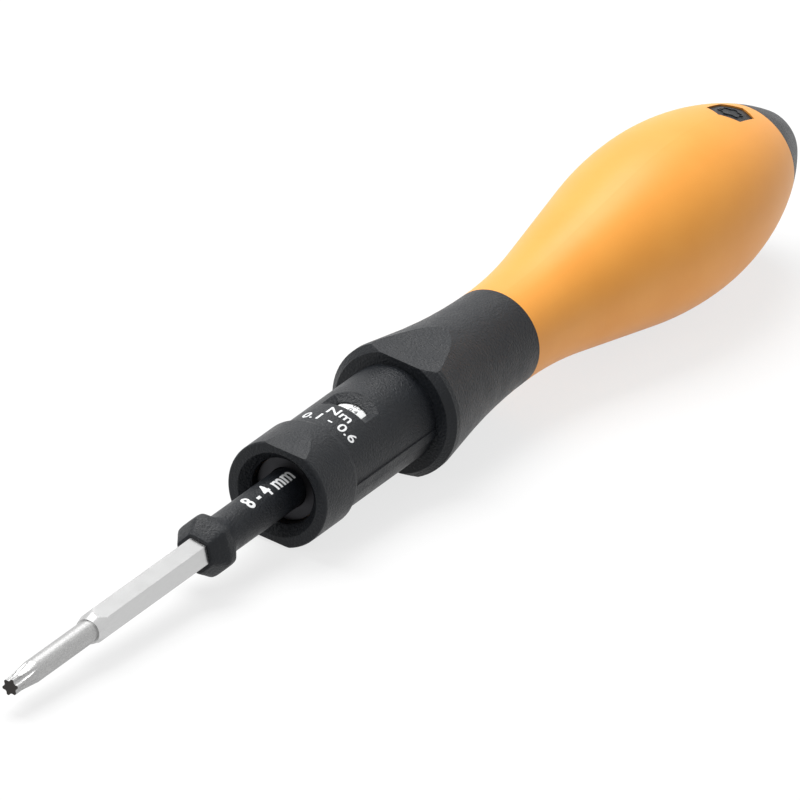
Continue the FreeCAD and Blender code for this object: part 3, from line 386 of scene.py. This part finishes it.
@dataclass(frozen=True)
class BladeChrome(Finish):
    """Matt chrome plate: blasted round neck, drawn bright hexagon, dark face at the tip.

    Attributes:
        tip: station of the tip's end face, millimetres.
        shoulder: station where the neck ends, millimetres.
        blur: half the length over which the blasting fades out, millimetres.
        dark: colour given to the tip's end face.
        hollows, crests: colours of the blasted neck.
        blast_per_mm: pits of the blasting per millimetre.
        streaks_per_mm: drawn streaks per millimetre across the blade.
        relief_microns: height of the relief.
        edge: radius to which sharp edges look rounded, millimetres.
    """

    tip: float = -65.5
    shoulder: float = -46.7
    blur: float = 0.1
    dark: Colour = (0.045, 0.042, 0.04)
    hollows: Colour = (0.30, 0.30, 0.30)
    crests: Colour = (0.50, 0.50, 0.495)
    blast_per_mm: float = 9.0
    streaks_per_mm: float = 7.0
    relief_microns: float = 9.0
    edge: float = 0.05

    def detail(self, bench: Bench, tool: Wire) -> dict[str, Any]:
        """Blasted relief on the neck, drawn streaks on the hexagon.

        Args:
            bench: the material's bench.
            tool: the place in the tool frame, millimetres.

        Returns:
            The inputs of the shader by socket name.
        """
        station = bench.node("ShaderNodeSeparateXYZ", None, {0: tool}, "X")
        plated = station.between(self.shoulder - self.blur, self.shoulder + self.blur)
        face = 1.0 - station.between(self.tip + 0.02, self.tip + 0.12)
        blast = bench.noise(tool, self.blast_per_mm, 2.0, 0.7)
        streak = bench.noise(bench.stretch(tool, (0.12, 1.0, 1.0)), self.streaks_per_mm, 3.0, 0.6)
        smudge = bench.noise(tool, 0.4, 3.0)
        blasted = bench.mix(blast.between(0.3, 0.7), self.hollows, self.crests)
        drawn = bench.mix(streak, self.colour, tuple(part * 0.86 for part in self.colour))
        body = bench.mix(plated, blasted, drawn)
        relief = (1.0 - plated) * blast + plated * streak * 0.12
        return {
            "Base Color": bench.mix(face, body, self.dark),
            "Roughness": (1.0 - plated) * 0.16 + streak * 0.06 + smudge * 0.08 + (self.roughness - 0.07),
            "Normal": self.bumped(bench, relief, self.relief_microns, self.edge),
        }


@dataclass(frozen=True)
class TurnedMetal(Finish):
    """Turned metal with fine rings round the tool's axis.

    Attributes:
        rings_per_mm: rings per millimetre along the axis.
        rings_microns: height of the rings.
        deeper: share of the colour that is left in the rings' hollows.
    """

    rings_per_mm: float = 9.0
    rings_microns: float = 3.0
    deeper: float = 0.7

    def detail(self, bench: Bench, tool: Wire) -> dict[str, Any]:
        """Rings in the relief and the colour.

        Args:
            bench: the material's bench.
            tool: the place in the tool frame, millimetres.

        Returns:
            The inputs of the shader by socket name.
        """
        rings = bench.noise(bench.stretch(tool, (1.0, 0.05, 0.05)), self.rings_per_mm, 3.0, 0.7)
        cloud = bench.noise(tool, 0.5, 3.0)
        deep = tuple(part * self.deeper for part in self.colour)
        return {
            "Base Color": bench.mix(rings * 0.6 + cloud * 0.3, self.colour, deep),
            "Roughness": rings * 0.1 + cloud * 0.1 + (self.roughness - 0.1),
            "Normal": self.bumped(bench, rings, self.rings_microns),
        }


@dataclass(frozen=True)
class Ink(Finish):
    """Printed ink: a thin film that is a little uneven at close range.

    Attributes:
        grain_per_mm: grains of the surface below, per millimetre.
        grain_microns: height of the grains.
        worn: share of the colour that is left where the film is thin.
    """

    grain_per_mm: float = 6.0
    grain_microns: float = 5.0
    worn: float = 0.72

    def detail(self, bench: Bench, tool: Wire) -> dict[str, Any]:
        """Slight loss of cover over the grain below.

        Args:
            bench: the material's bench.
            tool: the place in the tool frame, millimetres.

        Returns:
            The inputs of the shader by socket name.
        """
        grain = bench.noise(tool, self.grain_per_mm, 2.0)
        worn = tuple(part * self.worn for part in self.colour)
        return {
            "Base Color": bench.mix(grain.between(0.5, 0.85), self.colour, worn),
            "Roughness": grain * 0.1 + (self.roughness - 0.05),
            "Normal": self.bumped(bench, grain, self.grain_microns),
        }


class Slot(Enum):
    """The record's material slots."""

    BLACK = "black_plastic"
    GRIP = "soft_grip"
    BLADE = "blade_steel"
    STEEL = "hard_steel"
    BRONZE = "bronze"
    WHITE = "white_plastic"


FINISHES: dict[Slot, Finish] = {
    Slot.BLACK: GrainedPlastic("black_grained_plastic", (0.0050, 0.0062, 0.0082), 0.40, gloss=0.24),
    Slot.GRIP: SoftTouch("orange_soft_grip", (0.86, 0.36, 0.055), 0.42, gloss=0.4),
    Slot.BLADE: BladeChrome("matt_chrome_blade", (0.60, 0.60, 0.60), 0.24, metallic=1.0),
    # The hard steel parts are given a very dark colour, so that the inside of the mouth, where they show,
    # is dark.
    Slot.STEEL: TurnedMetal("dark_steel", (0.035, 0.035, 0.038), 0.38, metallic=1.0),
    Slot.BRONZE: TurnedMetal("turned_bronze", (0.50, 0.30, 0.14), 0.36, metallic=1.0),
    Slot.WHITE: GrainedPlastic(
        "white_scale_plastic",
        (0.70, 0.71, 0.71),
        0.42,
        gloss=0.4,
        grain_per_mm=4.0,
        grain_microns=4.0,
        edge=0.05,
    ),
}
WHITE_INK = Ink("white_ink", (0.80, 0.81, 0.82), 0.5)
BLACK_INK = Ink("black_ink", (0.03, 0.03, 0.035), 0.5)


# ---------------------------------------------------------------------------------------------------
# pieces


def add_piece(
    name: str, mesh: bpy.types.Mesh, material: bpy.types.Material, body: str
) -> bpy.types.Object:
    """Shows a finished mesh as a piece that rides on a body.

    Args:
        name: the piece's name.
        mesh: mesh in the row frame.
        material: its finish.
        body: the CAD body it moves with.

    Returns:
        The piece.
    """
    mesh.materials.clear()
    mesh.materials.append(material)
    piece = bpy.data.objects.new(name, mesh)
    bpy.context.scene.collection.objects.link(piece)
    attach(piece, body)
    LOG.info("%s: %d faces on %s", name, len(mesh.polygons), body)
    return piece


def closed_skin(name: str, points: np.ndarray, rings: int, around: int) -> bpy.types.Mesh:
    """A mesh over rings of points that closes both round each ring and from the last ring to the first.

    Args:
        name: the mesh's name.
        points: rings times around points, ring by ring.
        rings: number of rings.
        around: number of points in a ring.

    Returns:
        The mesh, smooth shaded, with its faces pointing outwards.
    """
    ring, step = np.meshgrid(np.arange(rings), np.arange(around), indexing="ij")
    after = (ring + 1) % rings
    beside = (step + 1) % around
    corners = (ring * around + step, after * around + step, after * around + beside, ring * around + beside)
    faces = np.stack(corners, axis=-1).reshape(-1, 4)
    mesh = bpy.data.meshes.new(name)
    mesh.from_pydata(points.tolist(), [], faces.tolist())
    shape = bmesh.new()
    shape.from_mesh(mesh)
    bmesh.ops.recalc_face_normals(shape, faces=shape.faces)
    for edge in shape.edges:
        edge.smooth = edge.calc_face_angle(0.0) < CREASE
    for face in shape.faces:
        face.smooth = True
    shape.to_mesh(mesh)
    shape.free()
    return mesh


class Reading(Enum):
    """Which way a line of print runs."""

    ROUND = "round the tool, its top towards the butt"
    ALONG = "along the tool, its top away from the viewer's side"


@dataclass(frozen=True)
class PrintLine:
    """A line of print laid on a turned surface.

    Attributes:
        text: the characters.
        height: height of a capital, millimetres.
        station: middle of the line along the tool, millimetres.
        angle: middle of the line round the tool, degrees.
        radius: radius of the surface that carries it, millimetres.
        reading: which way it runs.
        spread: spacing of the characters.
        weight: how far each stroke is thickened, millimetres.
        film: thickness that stands on the surface, millimetres.
        sunk: depth of the print's foot in the surface, millimetres.
        capital_share: height of a capital in the built-in font, as a share of its size.
        strip: widest strip that bends round the tool as one flat face, millimetres.
        slab: half the thickness of the flat line before it is wrapped, millimetres.
        merge: distance under which two points are one, millimetres.
        pieces: number of straight pieces in each curve of a character.
    """

    text: str
    height: float
    station: float
    angle: float
    radius: float
    reading: Reading
    spread: float = 1.0
    weight: float = 0.0
    film: float = 0.02
    sunk: float = 0.12
    capital_share: float = 0.73
    strip: float = 0.3
    slab: float = 0.5
    merge: float = 1e-4
    pieces: int = 4

    def outline(self) -> bpy.types.Mesh:
        """The line as a flat slab about its own middle.

        Returns:
            The slab's mesh, in millimetres.
        """
        curve = bpy.data.curves.new("line", "FONT")
        curve.body = self.text
        curve.size = self.height / self.capital_share
        curve.space_character = self.spread
        curve.offset = self.weight
        curve.extrude = self.slab
        curve.align_x = "CENTER"
        curve.align_y = "CENTER"
        curve.resolution_u = self.pieces
        holder = bpy.data.objects.new("line", curve)
        bpy.context.scene.collection.objects.link(holder)
        bpy.context.view_layer.update()
        shown = holder.evaluated_get(bpy.context.evaluated_depsgraph_get())
        mesh = bpy.data.meshes.new_from_object(shown)
        bpy.data.objects.remove(holder)
        bpy.data.curves.remove(curve)
        return mesh

    def sliced(self, mesh: bpy.types.Mesh) -> None:
        """Cuts the slab into strips, narrow enough to bend round the tool.

        Args:
            mesh: the slab, which is changed.
        """
        across = Vector((1.0, 0.0, 0.0) if self.reading is Reading.ROUND else (0.0, 1.0, 0.0))
        shape = bmesh.new()
        shape.from_mesh(mesh)
        bmesh.ops.remove_doubles(shape, verts=shape.verts, dist=self.merge)
        strips = int(max(abs(vertex.co.dot(across)) for vertex in shape.verts) / self.strip)
        for step in range(-strips, strips + 1):
            cut = {"plane_co": across * step * self.strip, "plane_no": across, "dist": self.merge / 10.0}
            bmesh.ops.bisect_plane(shape, geom=shape.verts[:] + shape.edges[:] + shape.faces[:], **cut)
        bmesh.ops.triangulate(shape, faces=shape.faces)
        shape.to_mesh(mesh)
        shape.free()

    def mesh(self, frame: ToolFrame) -> bpy.types.Mesh:
        """The line wrapped round the tool, as a thin closed film.

        A point at (a, b) of the flat line goes to the angle a / radius and the station b where the line
        runs round the tool, and to the station a and the angle -b / radius where it runs along it.

        Args:
            frame: the tool's frame.

        Returns:
            The film's mesh in the row frame.
        """
        mesh = self.outline()
        self.sliced(mesh)
        across, up, depth = read_points(mesh).T
        lift = np.where(depth > 0.0, self.film, -self.sunk)
        if self.reading is Reading.ROUND:
            turn = math.radians(self.angle) + across / self.radius
            station = self.station + up
        else:
            turn = math.radians(self.angle) - up / self.radius
            station = self.station + across
        write_points(mesh, frame.place(round_the_tool(station, turn, self.radius + lift)))
        return mesh


def read_points(mesh: bpy.types.Mesh) -> np.ndarray:
    """The vertices of a mesh.

    Args:
        mesh: the mesh that is read.

    Returns:
        An N by 3 array.
    """
    flat = np.empty(len(mesh.vertices) * 3, np.float32)
    mesh.vertices.foreach_get("co", flat)
    return flat.reshape(-1, 3).astype(float)


def write_points(mesh: bpy.types.Mesh, points: np.ndarray) -> None:
    """Puts an N by 3 array back into the vertices."""
    mesh.vertices.foreach_set("co", points.astype(np.float32).ravel())
    mesh.update()


def round_the_tool(station: np.ndarray, turn: np.ndarray, radius: np.ndarray) -> np.ndarray:
    """Points at a station, an angle from Z towards -Y and a distance from the axis."""
    return np.stack((station, -radius * np.sin(turn), radius * np.cos(turn)), axis=-1)


# ---------------------------------------------------------------------------------------------------
# sub-assemblies


@dataclass
class Tool:
    """Everything that is shared.

    Attributes:
        frame: the tool's frame.
        nodes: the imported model's objects by node name.
        slots: the record's slot of each node.
        materials: the materials made so far.
    """

    frame: ToolFrame
    nodes: Mapping[str, bpy.types.Object]
    slots: Mapping[str, Slot]
    materials: dict[Finish, bpy.types.Material]

    @classmethod
    def from_model(cls, model: Mapping[str, Any]) -> "Tool":
        """Reads the frame and the slots.

        Args:
            model: the loaded model.

        Returns:
            The tool, with no material made yet.
        """
        joint = next(joint for joint in model["joints"] if joint["name"] == "clutch_slip")
        slots = {part["node"]: Slot(part["material_slot"]) for part in model["record"]["subparts"]}
        return cls(ToolFrame.from_joint(joint), model["nodes"], slots, {})

    def finish(self, finish: Finish) -> bpy.types.Material:
        """The finish's material, made once.

        Args:
            finish: the finish that is wanted.

        Returns:
            Its material.
        """
        if finish not in self.materials:
            self.materials[finish] = finish.material(self.frame)
        return self.materials[finish]

    def dress_nodes(self) -> None:
        """Gives every CAD node the material of its slot."""
        for name, node in self.nodes.items():
            node.data.materials.clear()
            node.data.materials.append(self.finish(FINISHES[self.slots[name]]))
            LOG.info("%s: dressed as %s", name, self.slots[name].value)

    def print_line(self, name: str, line: PrintLine, ink: Ink, body: str) -> None:
        """Lays one line of print on a body."""
        add_piece(name, line.mesh(self.frame), self.finish(ink), body)


@dataclass(frozen=True)
class FrontSleeve:
    """Black sleeve with the torque range and the unit printed ahead of the scale window.

    Attributes:
        radius: radius of the sleeve, millimetres.
        range_station, unit_station: middles of the two rows, millimetres.
        letter_height, letter_spread, letter_weight: size, spacing and thickening of the letters.
        angle: middle of the rows round the tool, degrees.
    """

    radius: float = 6.76
    range_station: float = 10.75
    unit_station: float = 13.1
    letter_height: float = 1.75
    letter_spread: float = 1.05
    letter_weight: float = 0.03
    angle: float = 4.0

    def build(self, tool: Tool) -> None:
        """Prints the two rows.

        Args:
            tool: the tool that is printed on.
        """
        rows = (("range_print", "0.1 - 0.6", self.range_station), ("unit_print", "Nm", self.unit_station))
        for name, text, station in rows:
            line = PrintLine(
                text,
                self.letter_height,
                station,
                self.angle,
                self.radius,
                Reading.ROUND,
                self.letter_spread,
                self.letter_weight,
            )
            tool.print_line(name, line, WHITE_INK, "handle")


@dataclass(frozen=True)
class ScaleDrum:
    """White drum behind the window, with its numbers.

    Attributes:
        radius: radius of the drum, millimetres.
        rest_station: station of the middle of the range at rest, millimetres.
        step: distance between two numbers, millimetres.
        first, last: smallest and largest number, tenths.
        letter_height: height of the numbers, millimetres.
        angle: middle of the numbers round the tool, degrees.
    """

    radius: float = 5.6
    rest_station: float = 16.2
    step: float = 1.2
    first: int = 1
    last: int = 6
    letter_height: float = 0.8
    angle: float = 4.0

    def build(self, tool: Tool) -> None:
        """Prints the numbers one step apart.

        Args:
            tool: the tool that is printed on.
        """
        middle = (self.first + self.last) / 2.0
        for tenth in range(self.first, self.last + 1):
            station = self.rest_station + (tenth - middle) * self.step
            number = PrintLine(
                "0.%d" % tenth, self.letter_height, station, self.angle, self.radius, Reading.ROUND
            )
            tool.print_line("scale_number_%d" % tenth, number, BLACK_INK, "scale")


@dataclass(frozen=True)
class PadSymbol:
    """Raised six-lobe outline on the symbol pad in the grip.

    Attributes:
        station: middle of the pad, millimetres, as are all the lengths below.
        radius: mean radius of the outline.
        lobe: height of a lobe.
        lobes: number of lobes.
        band: width of the raised line.
        rise: its height above the pad.
        foot: its depth in the pad.
        recess: depth of the pad below the grip.
        sweep, sweep_height, sweep_station: radius and centre of the grip's profile arc.
        around: number of points in the outline.
    """

    station: float = 113.6
    radius: float = 1.45
    lobe: float = 0.22
    lobes: int = 6
    band: float = 0.2
    rise: float = 0.12
    foot: float = 0.15
    recess: float = 0.25
    sweep: float = 54.0
    sweep_height: float = -41.78
    sweep_station: float = 98.9
    around: int = 180

    def build(self, tool: Tool) -> None:
        """Makes the outline.

        Its radius at the angle a is radius + lobe * cos(lobes * a), with a square-edged band across it.  It
        stands on the pad, whose top is the grip's profile arc, turned about the axis, less the recess.

        Args:
            tool: the tool that carries it.
        """
        turn = np.linspace(0.0, 2.0 * math.pi, self.around, endpoint=False)[None, :]
        half = self.band / 2.0
        offset = np.array((half, half, -half, -half))[:, None]
        height = np.array((-self.foot, self.rise, self.rise, -self.foot))[:, None]
        reach = self.radius + self.lobe * np.cos(self.lobes * turn) + offset
        station = self.station + reach * np.cos(turn)
        side = reach * np.sin(turn)
        bulb = self.sweep_height + np.sqrt(self.sweep**2 - (station - self.sweep_station) ** 2)
        level = np.sqrt((bulb - self.recess) ** 2 - side**2) + height
        points = np.stack((station, side, level), axis=-1).reshape(-1, 3)
        skin = closed_skin("pad_symbol", tool.frame.place(points), *station.shape)
        add_piece("pad_symbol", skin, tool.finish(FINISHES[Slot.BLACK]), "handle")


@dataclass(frozen=True)
class BladeGrip:
    """Black plastic grip on the blade with its size print.

    Attributes:
        radius: radius of the round body, millimetres, as are all the lengths below.
        shank: half the width of the hexagon shank across its flats.
        clock: angle of the blade round the tool's axis, degrees.
        rear: station of the grip's rear end.
        edge: rounding of that end.
        sharp: power that makes a ring's hexagon fit the shank.
        around: number of points in a ring.
        print_station, print_angle: middle of the print along and round the tool.
        letter_height, letter_spread, letter_weight: size, spacing and thickening of the letters.
    """

    radius: float = 2.749
    shank: float = 2.0
    clock: float = 36.5
    rear: float = 10.0
    edge: float = 0.2
    sharp: float = 40.0
    around: int = 144
    print_station: float = -3.6
    print_angle: float = 9.0
    letter_height: float = 2.1
    letter_spread: float = 1.05
    letter_weight: float = 0.07

    def sections(self) -> np.ndarray:
        """The grip's rings from the front to the rear.

        Returns:
            An array with a row for each ring: station, half width, half height and power.
        """
        corner = self.shank * 2.0 / math.sqrt(3.0)
        rings = (
            (-20.3, self.shank, corner, self.sharp),
            (-20.3, 2.45, 2.7, 16.0),
            (-20.1, 2.62, 2.85, 14.0),
            (-19.2, 3.15, 3.25, 13.0),
            (-18.3, 3.68, 3.75, 12.0),
            (-18.0, 3.81, 3.90, 12.0),
            (-17.7, 3.85, 3.95, 12.0),
            (-16.9, 3.85, 3.95, 12.0),
            (-16.6, 3.80, 3.88, 12.0),
            (-16.2, 3.58, 3.66, 11.0),
            (-15.6, 3.22, 3.30, 8.0),
            (-14.9, 2.96, 3.02, 5.0),
            (-14.1, 2.80, 2.84, 3.0),
            (-13.0, self.radius, self.radius, 2.0),
            (self.rear - self.edge, self.radius, self.radius, 2.0),
            (self.rear, self.radius - self.edge, self.radius - self.edge, 2.0),
            (self.rear, self.shank, corner, self.sharp),
        )
        return np.array(rings)

    def mesh(self, frame: ToolFrame) -> bpy.types.Mesh:
        """The grip as one closed skin, from the shank out over the head and back to the shank.

        A ring's radius at the angle a is a rounded hexagon: the power sum, over the three directions
        across its flats, of |cos(a - direction)| to the power p, taken to -1/p.  With p = 2 it is round,
        and it nears a sharp hexagon as p grows.  Width and height are scaled apart.

        Args:
            frame: the tool's frame.

        Returns:
            The skin's mesh in the row frame.
        """
        station, wide, high, power = (column[:, None] for column in self.sections().T)
        turn = np.linspace(0.0, 2.0 * math.pi, self.around, endpoint=False)[None, :]
        flats = np.abs(np.cos(turn[None] - np.radians((0.0, 60.0, 120.0))[:, None, None]))
        reach = (flats**power).sum(axis=0) ** (-1.0 / power)
        side = reach * np.cos(turn)
        front = reach * np.sin(turn)
        side *= wide / side.max(axis=1, keepdims=True)
        front *= high / front.max(axis=1, keepdims=True)
        angle = math.radians(self.clock) + np.arctan2(side, front)
        rings = round_the_tool(np.broadcast_to(station, angle.shape), angle, np.hypot(side, front))
        return closed_skin("blade_grip_skin", frame.place(rings.reshape(-1, 3)), *angle.shape)

    def build(self, tool: Tool) -> None:
        """Makes the grip and prints the size of the tip and of the shank on it.

        Args:
            tool: the tool that carries it.
        """
        skin = self.mesh(tool.frame)
        piece = add_piece("blade_grip_body", skin, tool.finish(FINISHES[Slot.BLACK]), "blade")
        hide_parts("blade_grip")
        line = PrintLine(
            "8 - 4 mm",
            self.letter_height,
            self.print_station,
            self.print_angle,
            self.radius,
            Reading.ALONG,
            self.letter_spread,
            self.letter_weight,
        )
        tool.print_line("size_print", line, WHITE_INK, "blade")


# ---------------------------------------------------------------------------------------------------
# studio


@dataclass(frozen=True)
class SoftLight:
    """A rectangular soft light that faces the tool.

    Attributes:
        name: the light's name.
        place: where it hangs, metres.
        size: its two sides, metres.
        watts: its power.
    """

    name: str
    place: Triple
    size: tuple[float, float]
    watts: float

    def build(self) -> None:
        """Makes the light."""
        lamp = bpy.data.lights.new(self.name, "AREA")
        lamp.shape = "RECTANGLE"
        lamp.size, lamp.size_y = self.size
        lamp.energy = self.watts
        holder = bpy.data.objects.new(self.name, lamp)
        holder.location = self.place
        holder.rotation_euler = (-Vector(self.place)).to_track_quat("-Z", "Y").to_euler()
        bpy.context.scene.collection.objects.link(holder)


@dataclass(frozen=True)
class Studio:
    """Plain pale floor, soft lights overhead and a pale room.

    Attributes:
        floor_size: length of the floor's sides, metres.
        floor_tone: the floor's own colour.
        floor_glow: share of plain white where the floor is seen directly.
        room: strength of the room's light on the object.
        lights: the soft lights.
    """

    floor_size: float = 6.0
    floor_tone: Colour = (0.85, 0.85, 0.85)
    floor_glow: float = 0.75
    room: float = 0.30
    lights: tuple[SoftLight, ...] = (
        SoftLight("key_light", (0.10, 0.35, 0.70), (0.8, 0.5), 9.0),
        SoftLight("front_light", (-0.85, 0.10, 0.60), (0.4, 0.4), 2.0),
    )

    def build(self) -> None:
        """Makes the floor, the lights and the room."""
        self.make_floor()
        for light in self.lights:
            light.build()
        self.make_room()

    def make_floor(self) -> None:
        """A large flat floor at the height the tool lies on."""
        half = self.floor_size / 2.0
        mesh = bpy.data.meshes.new("floor")
        corners = [(-half, -half, 0.0), (half, -half, 0.0), (half, half, 0.0), (-half, half, 0.0)]
        mesh.from_pydata(corners, [], [(0, 1, 2, 3)])
        floor = bpy.data.objects.new("floor", mesh)
        bpy.context.scene.collection.objects.link(floor)
        made = bpy.data.materials.new("pale_floor")
        made.use_nodes = True
        bench = Bench(made.node_tree)
        matt = bench.node("ShaderNodeBsdfDiffuse", None, {"Color": self.floor_tone})
        glow = bench.node("ShaderNodeEmission", None, {"Color": WHITE, "Strength": 1.0})
        seen = self.seen_directly(bench)
        blend = bench.node("ShaderNodeMixShader", None, {0: seen * self.floor_glow, 1: matt, 2: glow})
        bench.node("ShaderNodeOutputMaterial", None, {"Surface": blend})
        mesh.materials.append(made)

    @staticmethod
    def seen_directly(bench: Bench) -> Wire:
        """Whether the surface is seen or only lights the object.

        Args:
            bench: the bench of the surface's material.

        Returns:
            1 where the camera, a mirror or glass sees the surface, 0 elsewhere.
        """
        camera = bench.node("ShaderNodeLightPath", output="Is Camera Ray")
        mirror = bench.node("ShaderNodeLightPath", output="Is Glossy Ray")
        glass = bench.node("ShaderNodeLightPath", output="Is Transmission Ray")
        return camera.highest(mirror).highest(glass)

    def make_room(self) -> None:
        """A room that looks white and lights the object at a plain level."""
        world = bpy.data.worlds.new("room")
        bpy.context.scene.world = world
        world.use_nodes = True
        bench = Bench(world.node_tree)
        lit = bench.node("ShaderNodeBackground", None, {"Color": WHITE, "Strength": self.room})
        white = bench.node("ShaderNodeBackground", None, {"Color": WHITE, "Strength": 1.0})
        blend = bench.node("ShaderNodeMixShader", None, {0: self.seen_directly(bench), 1: lit, 2: white})
        bench.node("ShaderNodeOutputWorld", None, {"Surface": blend})


@dataclass(frozen=True)
class View:
    """The camera: a long lens that looks along the tool from its tip.

    Attributes:
        station: where the line of sight passes the tool's axis, millimetres.
        rise: how far it passes beside the axis, towards the picture's upper left, millimetres.
        distance: from there to the camera, metres.
        lens: focal length, millimetres.
        sensor: the sensor's width, millimetres.
        near, far: nearest and furthest distance that is drawn, metres.
        right, up: the picture's own directions, in the tool frame.
        lean: the direction across the tool's axis in the picture, to the right and down.
    """

    station: float = 31.8
    rise: float = 0.67
    distance: float = 3.0
    lens: float = 1047.0
    sensor: float = 36.0
    near: float = 0.1
    far: float = 20.0
    right: Triple = (0.508, -0.848, 0.153)
    up: Triple = (0.366, 0.373, 0.853)
    lean: tuple[float, float] = (0.5848, 0.8111)

    def build(self, frame: ToolFrame) -> None:
        """Makes the camera and puts it in the scene.

        Args:
            frame: the tool's frame.
        """
        right = frame.direction(self.right).normalized()
        up = frame.direction(self.up)
        up = (up - right * up.dot(right)).normalized()
        back = right.cross(up)
        aside = up * self.lean[1] - right * self.lean[0]
        data = bpy.data.cameras.new("camera")
        data.lens = self.lens
        data.sensor_width = self.sensor
        data.clip_start = self.near
        data.clip_end = self.far
        camera = bpy.data.objects.new("camera", data)
        turn = Matrix((right, up, back)).transposed().to_4x4()
        target = frame.on_axis(self.station) + aside * self.rise * MM
        camera.matrix_world = Matrix.Translation(target + back * self.distance) @ turn
        bpy.context.scene.collection.objects.link(camera)
        bpy.context.scene.camera = camera


def main() -> None:
    """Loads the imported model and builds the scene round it."""
    logging.basicConfig(level=logging.INFO, format="%(message)s")
    bpy.ops.wm.read_factory_settings(use_empty=True)
    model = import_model()
    tool = Tool.from_model(model)
    View().build(tool.frame)
    tool.dress_nodes()
    for assembly in (FrontSleeve(), ScaleDrum(), PadSymbol(), BladeGrip()):
        assembly.build(tool)
    Studio().build()
    bpy.context.scene.view_settings.view_transform = "Standard"


if __name__ == "__main__":
    main()
